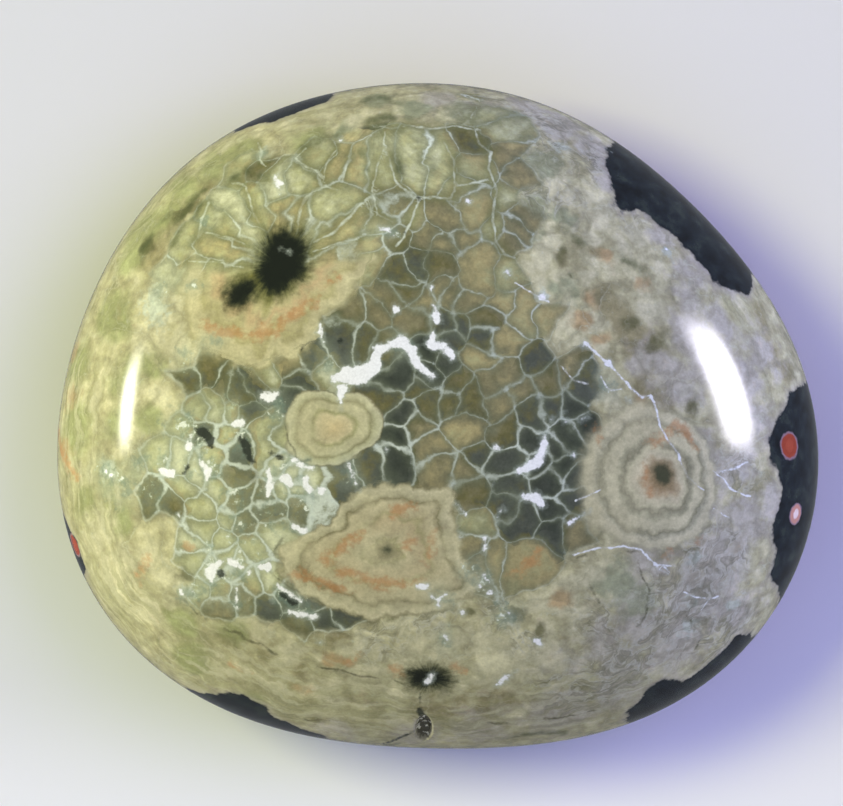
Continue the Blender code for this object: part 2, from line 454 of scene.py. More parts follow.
for half in ("a", "b"):
    clouds = add_node("Attribute", attribute_name="clouds_" + half)
    parts = add_node("SeparateColor", {0: clouds["Color"]})
    cloud_weights += [parts[0], parts[1], parts[2], clouds["Alpha"]]
cloud_noises = (billow[1], mottle[2], billow[2], mottle[0], mottle[1], mottle[2], crumb[1], mottle[1])
for (code, _), weight, noise in zip(CLOUDS.values(), cloud_weights, cloud_noises):
    lack = add_node("Math", {0: 0.5, 1: weight}, operation="SUBTRACT")[0]
    colour = lay_over(colour, paint(code), lack, 0.34, fray=1.7, noise=noise, strength=0.85)

# Lobes
# Away from the great orbs the quartz grew as a crowd of little orbs, which fill the ground as lobes.
# The eye gets lobes of unlike tone with a soft ring or two, and pale threads where lobes meet.
BANDED = (
    (75, 400, 50), (80, 310, 50), (110, 230, 50), (160, 180, 50), (225, 135, 45), (85, 500, 50),
    (120, 600, 56), (195, 662, 60), (290, 695, 60), (380, 715, 50), (470, 720, 50), (560, 710, 44),
    (640, 680, 34), (300, 110, 34), (740, 300, 24), (690, 230, 20),
)
from_rim = (math.pi / 2 - polar) * 24.0
along_rim = np.mod(turn - math.pi / 4, 2 * math.pi) * MEAN_RADIUS
keep_on_mesh("bands", "FLOAT_VECTOR", spot_weight(BANDED), from_rim, along_rim)
bands = add_node("SeparateXYZ", {0: add_node("Attribute", attribute_name="bands")["Vector"]})
LOBE = 3.3
LOBE_RINGS = 17.0
swirl = add_node("VectorMath", {0: billows, 1: (5.0, 5.0, 5.0), 2: place}, operation="MULTIPLY_ADD")[0]
swirl = add_node("VectorMath", {0: mottles, 1: (1.4, 1.4, 1.4), 2: swirl}, operation="MULTIPLY_ADD")[0]
lobe = add_node("TexVoronoi", {"Vector": swirl, "Scale": 1 / LOBE})
lobe_seam = add_node("TexVoronoi", {"Vector": swirl, "Scale": 1 / LOBE}, feature="DISTANCE_TO_EDGE")[0]
lobe_seam = add_node("Math", {0: lobe_seam, 1: LOBE}, operation="MULTIPLY")[0]
lot = add_node("SeparateColor", {0: lobe["Color"]})
ring = add_shares(lot[0], (lobe["Distance"], LOBE_RINGS))
ring = add_node("Math", {0: ring}, operation="SINE")[0]
tone = add_shares(0.60, (ring, 0.08), (lot[1], 0.28), (mottle[1], 0.36), (crumb[0], 0.32))
calm = add_shares(1.0, (bands[0], -0.65))
tone = add_node("Mix", {0: calm, 2: 1.06, 3: tone}, data_type="FLOAT")[0]
colour = add_node("VectorMath", {0: colour, "Scale": tone}, operation="SCALE")[0]
shadow_side = add_node("Math", {0: lobe_seam, 1: 0.35}, operation="SUBTRACT")[0]
darkness = add_node("Math", {0: calm, 1: 0.34}, operation="MULTIPLY")[0]
colour = lay_over(colour, paint("#6C684A"), shadow_side, 0.35, fray=0.9, noise=mottle[0], strength=darkness)
thread = add_node("MapRange", {"Value": billow[0], "From Min": 0.46, "From Max": 0.62, "To Max": 0.7})[0]
colour = lay_over(colour, paint("#C4C5AC"), lobe_seam, 0.13, fray=0.16, noise=crumb[1], strength=thread)

# Bands
# At the rim the orb layer is seen edge on, so its growth shows as bands that run round the stone.
# The eye gets faint stripes, half a millimetre to two wide, that waver and fade.
level = add_shares(bands[1], (billow[0], 6.0))
slow = add_node("Math", {0: bands[2], 1: 0.16}, operation="MULTIPLY")[0]
stripe_place = add_node("CombineXYZ", {0: level, 1: slow})[0]
stripes = {"Vector": stripe_place, "Scale": 1.1, "Detail": 3.0, "Roughness": 0.55}
stripe = add_node("SeparateColor", {0: add_node("TexNoise", stripes)["Color"]})
swing = add_node("Math", {0: stripe[0], 1: 0.5}, operation="SUBTRACT")[0]
swing = add_node("Math", {0: swing, 1: bands[0]}, operation="MULTIPLY")[0]
swing = add_shares(1.0, (swing, 1.3))
colour = add_node("VectorMath", {0: colour, "Scale": swing}, operation="SCALE")[0]
olive_band = add_node("Math", {0: 0.46, 1: stripe[1]}, operation="SUBTRACT")[0]
faint = add_node("Math", {0: bands[0], 1: 0.5}, operation="MULTIPLY")[0]
colour = lay_over(colour, paint("#85855C"), olive_band, 0.09, strength=faint)
pale_band = add_node("Math", {0: 0.56, 1: stripe[2]}, operation="SUBTRACT")[0]
colour = lay_over(colour, paint("#C6C2A4"), pale_band, 0.06, strength=faint)

# Folds
# Where the layer crept as it set it is crumpled, most of all at the lower right.
# The eye gets short folds, each with a pale crest and a dark side.
CRACKLED = (
    (690, 600, 46), (720, 640, 30), (650, 650, 40), (600, 680, 34), (730, 560, 26), (560, 690, 24),
    (540, 130, 30), (590, 160, 24), (500, 150, 30), (630, 210, 20), (550, 200, 26), (740, 470, 22),
    (600, 620, 22), (380, 640, 20), (430, 620, 18), (500, 610, 18), (520, 640, 18), (150, 460, 20),
    (200, 440, 20), (700, 540, 24), (480, 100, 20),
)
crackled = lay_on_mesh("crackled", spot_weight(CRACKLED))
some = add_node("Math", {0: crackled, 1: mottle[2]}, operation="ADD")[0]
crumpling = {"Value": some, "From Min": 0.65, "From Max": 1.25, "To Min": 0.06, "To Max": 0.85}
some = add_node("MapRange", crumpling)[0]
FOLD = 1.5
fold_along = add_node("Math", {0: bands[2], 1: 0.45}, operation="MULTIPLY")[0]
fold_place = add_node("CombineXYZ", {0: level, 1: fold_along})[0]
folds = {"Vector": fold_place, "Scale": 1 / FOLD, "Detail": 3.0, "Roughness": 0.6, "Distortion": 1.0}
fold = add_node("TexNoise", folds)["Fac"]
FOLD_SIDES = ((0.44, 0.03, 0.13, "#6B6A56", 0.9), (0.515, 0.015, 0.06, "#CDCCBF", 0.6))
for middle, half, soft, code, share in FOLD_SIDES:
    ridge = add_node("Math", {0: fold, 1: middle}, operation="SUBTRACT")[0]
    ridge = add_node("Math", {0: ridge}, operation="ABSOLUTE")[0]
    ridge = add_node("Math", {0: ridge, 1: half}, operation="SUBTRACT")[0]
    much = add_node("Math", {0: some, 1: share}, operation="MULTIPLY")[0]
    colour = lay_over(colour, paint(code), ridge, soft, fray=0.06, noise=crumb[1], strength=much)

# Grains
# The middle of the crown is a felt of glassy chalcedony grains, one to three millimetres across.
# Each is clear brown, olive or slate with a darker rim, and a thin pale wall parts it from the next.
GRAINS = {
    "ground": (
        (172, 222), (188, 196), (212, 170), (235, 150), (262, 138), (292, 128), (325, 122), (270, 150),
        (160, 250), (130, 400), (150, 425), (125, 470), (560, 345), (575, 330), (600, 330), (620, 370),
        (600, 480), (590, 560), (560, 590), (600, 520), (630, 440), (340, 560), (400, 560), (440, 520),
        (340, 430), (320, 420), (300, 300), (250, 320), (330, 290), (200, 320), (540, 620), (500, 640),
        (460, 640), (400, 640), (360, 640), (175, 585), (130, 510), (160, 535), (185, 612), (215, 632),
        (250, 628), (285, 642), (330, 645), (610, 290), (580, 250), (560, 200), (590, 200), (545, 235),
        (420, 110), (380, 110), (560, 120), (350, 130), (165, 395), (240, 340), (280, 340), (610, 410),
        (640, 480), (430, 560), (370, 520), (150, 300), (225, 320), (530, 262), (545, 290), (600, 260),
        (460, 612), (330, 590), (250, 690), (350, 250), (185, 350), (545, 605), (530, 200), (545, 165),
        (470, 110), (500, 100),
    ),
    "dark": (
        (398, 375), (431, 354), (441, 362), (398, 440), (390, 458), (402, 418), (530, 442), (555, 445),
        (548, 512), (550, 482), (552, 537), (575, 405), (566, 438), (586, 428), (292, 394), (562, 470),
        (202, 437), (241, 450), (286, 599), (425, 372), (533, 458),
    ),
    "slate": (
        (447, 325), (463, 325), (485, 340), (533, 360), ((503, 468), (515, 458)), (535, 412), (550, 405),
        (500, 500), (523, 517), ((342, 345), (340, 330)), (296, 382), (246, 412), (322, 508),
        ((340, 485), (335, 470)), (310, 602), (262, 605), (325, 618), (585, 388), (575, 480), (576, 497),
        (305, 352), (257, 388), (505, 487), (345, 610), (420, 262), (450, 340), (476, 455),
    ),
    "olive": (
        (265, 165), (408, 290), (405, 272), (437, 267), (393, 243), (430, 405), (545, 382), (508, 434),
        (456, 385), (470, 400), (372, 462), (469, 495), (485, 322), (205, 372), (222, 392), (240, 395),
        ((243, 498), (232, 503)), (246, 521), (270, 512), (300, 508), (170, 506), (150, 500), (185, 377),
        (243, 600), (217, 603), (472, 140), (450, 405), (416, 390), (386, 402), (385, 345), (365, 340),
        (233, 478), (300, 622), (268, 498),
    ),
    "brown": (
        (510, 152), (525, 215), (515, 230), (525, 180), (410, 320), (455, 295), ((505, 375), (492, 382)),
        (500, 398), (520, 392), (428, 238), (444, 243), (460, 238), (443, 214), (470, 545), (481, 565),
        (578, 535), (290, 363), (345, 318), (572, 368), (462, 470), (432, 447), (508, 242), (440, 290),
        (425, 300), (395, 300), (375, 320), (415, 430), (470, 300), (440, 470), (395, 195),
    ),
    "amber": (
        ((328, 256), (350, 250), (372, 248)), ((345, 148), (335, 170)), ((360, 152), (356, 174)),
        ((240, 256), (214, 246), (200, 243)), ((296, 232), (298, 212)),
        ((322, 244), (345, 230), (364, 220)), ((284, 226), (286, 205)), (396, 200),
        ((520, 320), (525, 303)), ((480, 262), (478, 282), (472, 250)), ((475, 210), (468, 200)),
        (496, 560), ((520, 560), (535, 562)), ((470, 430), (455, 428)), (500, 300), (505, 340), (480, 360),
        (545, 320),
    ),
    "sage": (
        (473, 165), (500, 132), (485, 115), (510, 195), (374, 222), (374, 260), (475, 525), (195, 505),
        (215, 595), ((305, 238), (325, 212), (345, 200)), ((262, 218), (258, 195)),
        ((246, 243), (225, 225), (208, 216)), ((322, 150), (313, 160)), ((382, 150), (382, 176)),
        ((412, 150), (415, 180)), ((240, 268), (205, 268)), ((182, 250), (190, 235)),
        ((236, 172), (245, 160)), ((300, 172), (302, 182)), ((440, 150), (438, 182)), (182, 430),
        (200, 412), (230, 410), (225, 437), (214, 490), (180, 488), (202, 529), (223, 541), (253, 552),
        ((266, 430), (266, 455)), (190, 560), (253, 585), (460, 190), (412, 215), (490, 230), (160, 455),
        (215, 462), (320, 505), (200, 590), (230, 558), (283, 438), (505, 275),
    ),
    "pearl": (
        ((252, 234), (236, 212), (224, 200)), ((190, 262), (170, 262)), ((278, 172), (278, 188)),
        (268, 378), (214, 412), (213, 400), (180, 460), (195, 470), (295, 480), (228, 515), (188, 545),
        (240, 565), (325, 372), (300, 492), (278, 470), (275, 535), (318, 478), (272, 583), (205, 575),
        (283, 492),
    ),
}
GRAIN_TONES = {
    "ground": 0.0, "dark": 0.14, "slate": 0.28, "olive": 0.42, "brown": 0.56, "amber": 0.70, "sage": 0.84,
    "pearl": 1.0,
}
CLASSES = 6
FAR = 30.0
grain_reach = []
grain_tone = []
for name, cells in GRAINS.items():
    for cell in cells:
        points, _ = on_crown(cell if isinstance(cell[0], tuple) else [cell])
        grain_reach.append(np.min([np.linalg.norm(strayed - point, axis=1) for point in points], axis=0))
        grain_tone.append(GRAIN_TONES[name])
grain_reach = np.array(grain_reach)
order = np.argpartition(grain_reach, 3, axis=0)[:3]
order = np.take_along_axis(order, np.argsort(np.take_along_axis(grain_reach, order, axis=0), axis=0), axis=0)
close = np.take_along_axis(grain_reach, order, axis=0)
keep_on_mesh("junctions", "FLOAT", close[2] - close[0])
touching = [set() for _ in grain_tone]
for first, second in ((0, 1), (0, 2), (1, 2)):
    pairs = np.unique(order[[first, second]][:, close[second] - close[0] < 1.2], axis=1)
    for one, other in pairs.T:
        touching[one].add(other)
        touching[other].add(one)
grain_class = [-1] * len(grain_tone)


def how_crowded(number):
    """How many classes a grain's neighbours already use, and how many neighbours it has."""
    used = {grain_class[other] for other in touching[number]} - {-1}
    return len(used), len(touching[number])


for _ in grain_tone:
    # the next grain is the one whose neighbours already use the most classes
    waiting = [i for i, kept in enumerate(grain_class) if kept < 0]
    busiest = max(waiting, key=how_crowded)
    taken = {grain_class[j] for j in touching[busiest]}
    grain_class[busiest] = next((c for c in range(CLASSES) if c not in taken), CLASSES - 1)
grain_class = np.array(grain_class)
grain_tone = np.array(grain_tone)
reaches = []
tones = []
for number in range(CLASSES):
    members = np.flatnonzero(grain_class == number)
    nearest = np.argmin(grain_reach[members], axis=0)
    reaches.append(np.minimum(grain_reach[members].min(axis=0), FAR))
    tones.append(grain_tone[members][nearest])
keep_on_mesh("grain_reach_a", "FLOAT_VECTOR", *reaches[:3])
keep_on_mesh("grain_reach_b", "FLOAT_VECTOR", *reaches[3:])
keep_on_mesh("grain_tone_a", "FLOAT_VECTOR", *tones[:3])
keep_on_mesh("grain_tone_b", "FLOAT_VECTOR", *tones[3:])

GRAIN_WANDER = 1.1
near = None
for half, wander in (("a", mottles), ("b", crumbs)):
    swing = GRAIN_WANDER if half == "a" else GRAIN_WANDER / 3
    reach = add_node("Attribute", attribute_name="grain_reach_" + half)["Vector"]
    reach = add_node("VectorMath", {0: wander, 1: (swing,) * 3, 2: reach}, operation="MULTIPLY_ADD")[0]
    centred = (GRAIN_WANDER / 2 - swing / 2,) * 3
    reach = add_node("VectorMath", {0: reach, 1: centred}, operation="ADD")[0]
    reach = add_node("SeparateXYZ", {0: reach})
    tone = add_node("SeparateXYZ", {0: add_node("Attribute", attribute_name="grain_tone_" + half)["Vector"]})
    for channel in range(3):
        if near is None:
            near, next_near, near_tone, next_tone = reach[channel], FAR, tone[channel], 0.0
            continue
        nearer = add_node("Math", {0: reach[channel], 1: near}, operation="LESS_THAN")[0]
        second = add_node("Math", {0: reach[channel], 1: next_near}, operation="LESS_THAN")[0]
        other_tone = add_node("Mix", {0: second, 2: next_tone, 3: tone[channel]}, data_type="FLOAT")[0]
        next_tone = add_node("Mix", {0: nearer, 2: other_tone, 3: near_tone}, data_type="FLOAT")[0]
        near_tone = add_node("Mix", {0: nearer, 2: near_tone, 3: tone[channel]}, data_type="FLOAT")[0]
        larger = add_node("Math", {0: near, 1: reach[channel]}, operation="MAXIMUM")[0]
        next_near = add_node("Math", {0: next_near, 1: larger}, operation="MINIMUM")[0]
        near = add_node("Math", {0: near, 1: reach[channel]}, operation="MINIMUM")[0]
wall = add_node("Math", {0: next_near, 1: near}, operation="SUBTRACT")[0]
GRAIN_STOPS = (
    (0.04, paint("#343A2F")),
    (0.16, paint("#3F443A")),
    (0.29, paint("#50544A")),
    (0.42, paint("#68643F")),
    (0.55, paint("#807A5B")),
    (0.68, paint("#A4996E")),
    (0.82, paint("#9F9F77")),
    (0.98, paint("#B9BA9B")),
)
# the tint of a glassy grain bleeds a little into the next, and clouds of brown run through several
bleeding = {"Value": wall, "From Min": 0.0, "From Max": 1.6, "To Min": 0.4, "To Max": 0.0}
bleed = add_node("MapRange", bleeding)[0]
tonal = add_node("Mix", {0: bleed, 2: near_tone, 3: next_tone}, data_type="FLOAT")[0]
near_is_ground = add_node("Math", {0: near_tone, 1: 0.07}, operation="LESS_THAN")[0]
next_is_ground = add_node("Math", {0: next_tone, 1: 0.07}, operation="LESS_THAN")[0]
tonal = add_node("Mix", {0: next_is_ground, 2: tonal, 3: near_tone}, data_type="FLOAT")[0]
tonal = add_node("Mix", {0: near_is_ground, 2: tonal, 3: next_tone}, data_type="FLOAT")[0]
shade = add_shares(tonal, (mottle[2], 0.35), (billow[1], 0.3), (crumb[2], 0.15))
shade = add_node("Math", {0: shade, 1: 0.4}, operation="SUBTRACT")[0]
grain_tint = add_node("ValToRGB", {0: shade}, stops=GRAIN_STOPS)[0]
glowing = {"Value": near, "From Min": 1.8, "From Max": 0.4, "To Min": 0.93, "To Max": 1.06}
glow = add_node("MapRange", glowing)[0]
# a pool of light painted on the grains at the lower left: there the grains are brighter, and their walls
# wider and whiter
LIT_GRAIN_SPOTS = (
    (220, 455, 36), (230, 500, 45), (290, 485, 40), (160, 470, 30), (220, 560, 45), (270, 560, 36),
    (310, 500, 30),
)
lit_grains = lay_on_mesh("lit_grains", spot_weight(LIT_GRAIN_SPOTS))
# painted light: the lit spots brighten the grains
glow = add_shares(glow, (lit_grains, 0.35), (mottle[0], 0.5), (crumb[0], 0.36))
glow = add_node("Math", {0: glow, 1: 0.43}, operation="SUBTRACT")[0]
grain_tint = add_node("VectorMath", {0: grain_tint, "Scale": glow}, operation="SCALE")[0]
rim_reach = add_node("Math", {0: wall, 1: 0.7}, operation="SUBTRACT")[0]
grain_tint = lay_over(grain_tint, paint("#5E6550"), rim_reach, 0.7, fray=0.9, noise=mottle[1], strength=0.5)
# a wall is anything from a clear seam to a white thread, so noise sets how wide and how pale it is
widths = {"Value": billow[2], "From Min": 0.36, "From Max": 0.64, "To Min": -0.08, "To Max": 0.2}
wide = add_node("MapRange", widths)[0]
whites = {"Value": billow[0], "From Min": 0.42, "From Max": 0.6, "To Min": 0.15, "To Max": 0.9}
pale = add_node("MapRange", whites)[0]
# painted light: in the lit spots the walls come out wider
wide = add_shares(wide, (lit_grains, 0.2))
in_wall = add_node("Math", {0: wall, 1: wide}, operation="SUBTRACT")[0]
grain_tint = lay_over(grain_tint, paint("#8B927A"), in_wall, 0.5, fray=0.5, noise=crumb[1], strength=0.65)
# painted light: in the lit spots the walls come out whiter
pale = add_node("Math", {0: lit_grains, 1: 0.8, 2: pale}, operation="MULTIPLY_ADD", use_clamp=True)[0]
grain_tint = lay_over(grain_tint, paint("#CBD2C6"), in_wall, 0.2, fray=0.35, noise=crumb[2], strength=pale)
junction = add_node("Attribute", attribute_name="junctions")["Fac"]
junction = add_node("Math", {0: junction, 1: wide}, operation="SUBTRACT")[0]
grain_tint = lay_over(grain_tint, paint("#C6D0C9"), junction, 0.3, fray=0.9, noise=crumb[0], strength=0.7)
beyond = add_node("Mix", {0: next_is_ground, 2: wall, 3: 3.0}, data_type="FLOAT")[0]
within = add_node("Math", {0: wall, 1: -1.0}, operation="MULTIPLY")[0]
within = add_node("Mix", {0: next_is_ground, 2: -3.0, 3: within}, data_type="FLOAT")[0]
grained = add_node("Mix", {0: near_is_ground, 2: within, 3: beyond}, data_type="FLOAT")[0]
colour = lay_over(colour, grain_tint, grained, 0.9, fray=1.1, noise=mottle[0])

# The great orbs
# Ringed balls of quartz fibres that grew out from a point until they met their neighbours.
# The eye gets rings of cream, beige and olive with scalloped edges, and some hearts are dark green.
ORBS = {
    "flower": (
        (277, 264),
        (374, 256), (356, 294), (338, 309), (317, 331), (290, 366), (274, 355), (258, 376), (242, 366),
        (215, 360), (185, 322), (178, 290), (190, 250), (225, 222), (277, 210), (330, 222), (365, 240),
    ),
    "shield": (
        (334, 428),
        (293, 400), (300, 393), (320, 390), (337, 396), (355, 393), (372, 400), (384, 425), (376, 441),
        (360, 452), (330, 466), (300, 460), (287, 450), (286, 430),
    ),
    "oval": (
        (385, 549),
        (276, 565), (280, 547), (309, 532), (329, 523), (345, 499), (364, 486), (400, 484), (430, 488),
        (450, 487), (455, 497), (452, 515), (458, 530), (463, 548), (470, 562), (485, 588), (460, 604),
        (400, 614), (340, 612), (296, 593), (282, 579),
    ),
    "eye": (
        (663, 478),
        (580, 470), (592, 435), (625, 405), (665, 410), (705, 440), (715, 480), (705, 530), (670, 548),
        (630, 545), (592, 525),
    ),
}
orb_fields = []
for heart, *outline in ORBS.values():
    _, centre = on_crown(heart)
    _, border = on_crown(outline)
    spoke = border - centre[0]
    angles = np.arctan2(spoke[:, 1], spoke[:, 0])
    ranked = np.argsort(angles)
    offset = unrolled - centre[0]
    around = np.arctan2(offset[:, 1], offset[:, 0])
    reach = np.interp(around, angles[ranked], np.hypot(*spoke[ranked].T), period=2 * math.pi)
    orb_fields.append(np.minimum(np.hypot(*offset.T) / reach, 4.0))
keep_on_mesh("orbs", "FLOAT_COLOR", *orb_fields)
orbs = add_node("Attribute", attribute_name="orbs")
orb_share = add_node("SeparateColor", {0: orbs["Color"]})
ORB_RINGS = {
    "flower": (
        (0.20, "#7B773F"), (0.33, "#9A9664"), (0.46, "#B5AB82"), (0.55, "#BBA680"), (0.66, "#B5AC84"),
        (0.76, "#A59E74"), (0.84, "#B9B18B"), (0.94, "#BDB690"), (1.0, "#A19A72"),
    ),
    "shield": (
        (0.0, "#C2B085"), (0.34, "#BEB38D"), (0.44, "#98966C"), (0.52, "#B5B08B"), (0.68, "#B9B48F"),
        (0.76, "#8F8C68"), (0.84, "#B4B28E"), (0.94, "#BDBB9A"), (1.0, "#66634A"),
    ),
    "oval": (
        (0.0, "#B1A985"), (0.13, "#A9A17C"), (0.17, "#9B966F"), (0.22, "#B4AB88"), (0.44, "#B3A582"),
        (0.50, "#9D966F"), (0.56, "#AFA582"), (0.70, "#B5AC8A"), (0.77, "#827C5C"), (0.82, "#A9A383"),
        (0.93, "#C0B998"), (1.0, "#757050"),
    ),
    "eye": (
        (0.0, "#A08A64"), (0.13, "#AF9168"), (0.24, "#B5A480"), (0.32, "#C6BD9A"), (0.42, "#BDB793"),
        (0.48, "#898569"), (0.53, "#9A9779"), (0.60, "#C0BA97"), (0.70, "#BDB795"), (0.76, "#8A876B"),
        (0.80, "#A09D82"), (0.86, "#C0BA9A"), (0.94, "#BDB796"), (1.0, "#8E8B70"),
    ),
}
ORB_EDGES = (0.08, 0.035, 0.045, 0.10)
ORB_LOBES = (0.22, 0.04, 0.10, 0.05)  # how far the scallops swing the rings
orb_shares = (orb_share[0], orb_share[1], orb_share[2], orbs["Alpha"])
for (name, stops), share, edge, lobed in zip(ORB_RINGS.items(), orb_shares, ORB_EDGES, ORB_LOBES):
    wavy = add_shares(share, (scallops, lobed), (mottle[0], 0.22), (crumb[0], 0.07))
    wavy = add_node("Math", {0: wavy, 1: 0.15 + 0.4 * lobed}, operation="SUBTRACT")[0]
    rings = add_node("ValToRGB", {0: wavy}, stops=[(at, paint(code)) for at, code in stops])[0]
    if name != "flower":
        clearing = {"Value": billow[0], "From Min": 0.36, "From Max": 0.56, "To Min": 0.3, "To Max": 1.0}
        clear = add_node("MapRange", clearing)[0]
        rings = add_node("Mix", {0: clear, 6: paint("#B8B18E"), 7: rings}, data_type="RGBA")[2]
    blotch = add_shares(0.33, (mottle[1], 0.75), (crumb[1], 0.5), (fibres, 0.15))
    rings = add_node("VectorMath", {0: rings, "Scale": blotch}, operation="SCALE")[0]
    beyond = add_node("Math", {0: wavy, 1: 1.0}, operation="SUBTRACT")[0]
    colour = lay_over(colour, rings, beyond, edge)

# Petals
# Two fans of petals spread from the flower orb's heart and from a small one above it.
# The eye gets straw petals, darker along their sides, with a thin pale rib between one and the next.
FANS = (
    ((190, 268), (190, 235), (203, 205), (215, 197), (228, 188), (240, 176), (256, 172), (275, 180),
     (290, 160), (305, 165), (313, 180), (331, 186), (350, 190), (367, 198), (372, 215), (387, 232),
     (388, 256), (345, 262), (310, 268), (277, 275), (240, 278), (215, 272)),
    ((330, 152), (338, 192), (360, 180), (382, 176), (395, 184), (413, 198), (450, 199), (456, 186),
     (453, 160), (444, 141), (420, 130), (376, 122), (345, 132)),
)
fan_reach = np.min([outline_distance(outline) for outline in FANS], axis=0)
fans = lay_on_mesh("fans", fan_reach)
petal_shade = add_shares(0.50, (fibres, 1.3), (mottle[1], 0.25))
petal_shade = add_node("Math", {0: petal_shade, 1: 0.06}, operation="SUBTRACT")[0]
petal_colour = add_node("VectorMath", {0: grain_tint, "Scale": petal_shade}, operation="SCALE")[0]
colour = lay_over(colour, petal_colour, fans, 0.6, fray=1.2, noise=mottle[2], strength=0.9)
RIBS = (
    ((264, 232, 0.4), (253, 214, 0.8), (250, 198, 0.8), (246, 185, 0.6), (232, 183, 0.4)),
    ((296, 234, 0.4), (300, 215, 1.2), (304, 200, 1.2), (313, 190, 1.0), (325, 186, 1.0), (338, 189, 0.4)),
    ((314, 243, 0.4), (335, 231, 1.2), (350, 217, 1.2), (365, 200, 1.2), (378, 190, 0.4)),
    ((365, 200, 0.8), (373, 216, 0.4)), ((312, 252, 0.4), (335, 244, 0.6), (358, 238, 0.6)),
    ((208, 203, 1.2), (201, 220, 1.2), (198, 238, 1.2)),
    ((206, 233, 0.8), (225, 236, 0.8), (248, 246, 0.4)),
    ((188, 262, 0.4), (215, 261, 0.6), (244, 268, 0.4)),
    ((296, 158, 0.4), (306, 166, 0.8), (318, 172, 0.8), (322, 182, 0.4)),
    ((296, 158, 0.4), (306, 148, 0.4)),
    ((258, 143, 0.8), (262, 152, 1.6), (259, 160, 1.2), (266, 166, 0.4)),
    ((336, 150, 0.4), (326, 165, 0.8), (322, 182, 0.4)),
    ((350, 150, 0.4), (347, 165, 0.8), (343, 182, 0.4)),
    ((385, 132, 0.4), (383, 150, 0.8), (376, 172, 0.4)),
    ((386, 147, 0.4), (390, 165, 0.8), (396, 182, 0.8), (413, 198, 1.0), (432, 197, 0.8), (450, 199, 1.0),
     (455, 187, 0.8), (453, 160, 0.8), (444, 141, 0.4)),
    ((370, 124, 0.3), (388, 129, 0.5), (408, 125, 0.4), (430, 129, 0.4), (455, 126, 0.3), (480, 130, 0.5)),
    ((475, 130, 0.4), (478, 142, 0.8), (491, 152, 1.2)),
    ((491, 152, 1.2), (488, 168, 0.8), (497, 190, 1.2), (492, 215, 1.2), (496, 240, 0.8), (505, 254, 1.2),
     (514, 257, 0.8)),
    ((456, 186, 0.4), (470, 184, 0.8), (486, 180, 0.8)),
    ((376, 172, 0.4), (372, 195, 0.8), (378, 215, 0.8), (392, 222, 0.4)),
    ((420, 198, 0.8), (414, 215, 1.2), (404, 236, 1.2), (396, 246, 0.8)),
    ((471, 118, 0.4), (480, 100, 0.8), (461, 94, 0.4)),
)
ribs = fine_lines("ribs", RIBS)
rib_side = add_node("Math", {0: ribs, 1: 0.4}, operation="SUBTRACT")[0]
colour = lay_over(colour, paint("#6A6C42"), rib_side, 0.5, fray=0.6, noise=mottle[0], strength=0.5)
rib_tones = {"Value": mottle[2], "From Min": 0.4, "From Max": 0.6, "To Min": 0.25, "To Max": 0.95}
rib_tone = add_node("MapRange", rib_tones)[0]
colour = lay_over(colour, paint("#D0D6C4"), ribs, 0.09, fray=0.22, noise=crumb[0], strength=rib_tone)

# Rust
# Iron left orange tints along the growth rings of the orbs, round the black heart below and at the rim.
# The eye gets soft orange strokes that break up into blotches.
RUST = (
    ((205, 325, 4), (222, 333, 6), (250, 336, 6), (275, 326, 6), (300, 309, 6), (320, 295, 5),
     (340, 280, 4)),
    ((652, 440, 5), (668, 432, 7), (686, 436, 6), (696, 450, 4)),
    ((640, 466, 3), (644, 490, 4), (652, 500, 3)), ((700, 545, 5),), ((672, 558, 5),),
    ((64, 380, 4), (60, 410, 5), (63, 450, 4), (75, 480, 3)), ((80, 300, 4), (72, 330, 4)),
    ((395, 668, 5), (404, 674, 4)), ((460, 668, 4), (450, 662, 4)), ((398, 512, 5), (412, 508, 4)),
    ((402, 545, 5), (410, 538, 3)), ((345, 575, 5), (380, 590, 5), (420, 585, 4)),
    ((230, 660, 4), (250, 668, 3)), ((345, 662, 4), (360, 655, 3)), ((520, 570, 5), (534, 556, 5)),
    ((330, 560, 5), (360, 535, 4)), ((436, 538, 5), (425, 560, 4)), ((300, 575, 4), (350, 592, 3)),
    ((592, 428, 4), (598, 440, 3)), ((185, 545, 4),), ((150, 560, 4), (140, 580, 3)),
)
rust = lay_on_mesh("rust", stroke_distance(RUST, strayed))
rust_fray = add_node("Mix", {0: 0.55, 2: mottle[1], 3: crumb[1]}, data_type="FLOAT")[0]
colour = lay_over(colour, paint("#B9824F"), rust, 0.4, fray=2.6, noise=rust_fray, strength=0.55)

# Seams
# Thin dark films of clay between one growth and the next.
# The eye gets fine olive-brown lines that waver along the orbs and the rim.
SEAMS = (
    ((186, 600, 1), (215, 626, 1.4), (262, 649, 1.5), (330, 671, 1.3), (405, 682, 0.8)),
    ((283, 405, 0.9), (286, 425, 1.1), (289, 444, 1.1), (296, 458, 1), (318, 467, 0.8)),
    ((290, 536, 0.8), (278, 546, 1.2), (272, 560, 1.3), (275, 576, 1.2), (300, 592, 1), (332, 606, 0.7)),
    ((574, 559, 0.8), (600, 552, 1), (625, 551, 1), (645, 556, 1), (662, 569, 0.8)),
    ((597, 562, 1), (593, 580, 1.4), (600, 603, 1.2)), ((640, 562, 0.8), (650, 590, 1), (640, 622, 0.8)),
    ((690, 620, 0.8), (700, 640, 1), (690, 660, 0.8)), ((560, 262, 0.8), (575, 280, 1), (570, 300, 0.8)),
    ((200, 700, 0.8), (260, 712, 1), (330, 722, 0.8)), ((440, 722, 1), (520, 724, 1.4), (600, 708, 1)),
)
seams = fine_lines("seams", SEAMS, strayed)
colour = lay_over(colour, paint("#55533A"), seams, 0.14, fray=0.3, noise=crumb[0], strength=0.8)

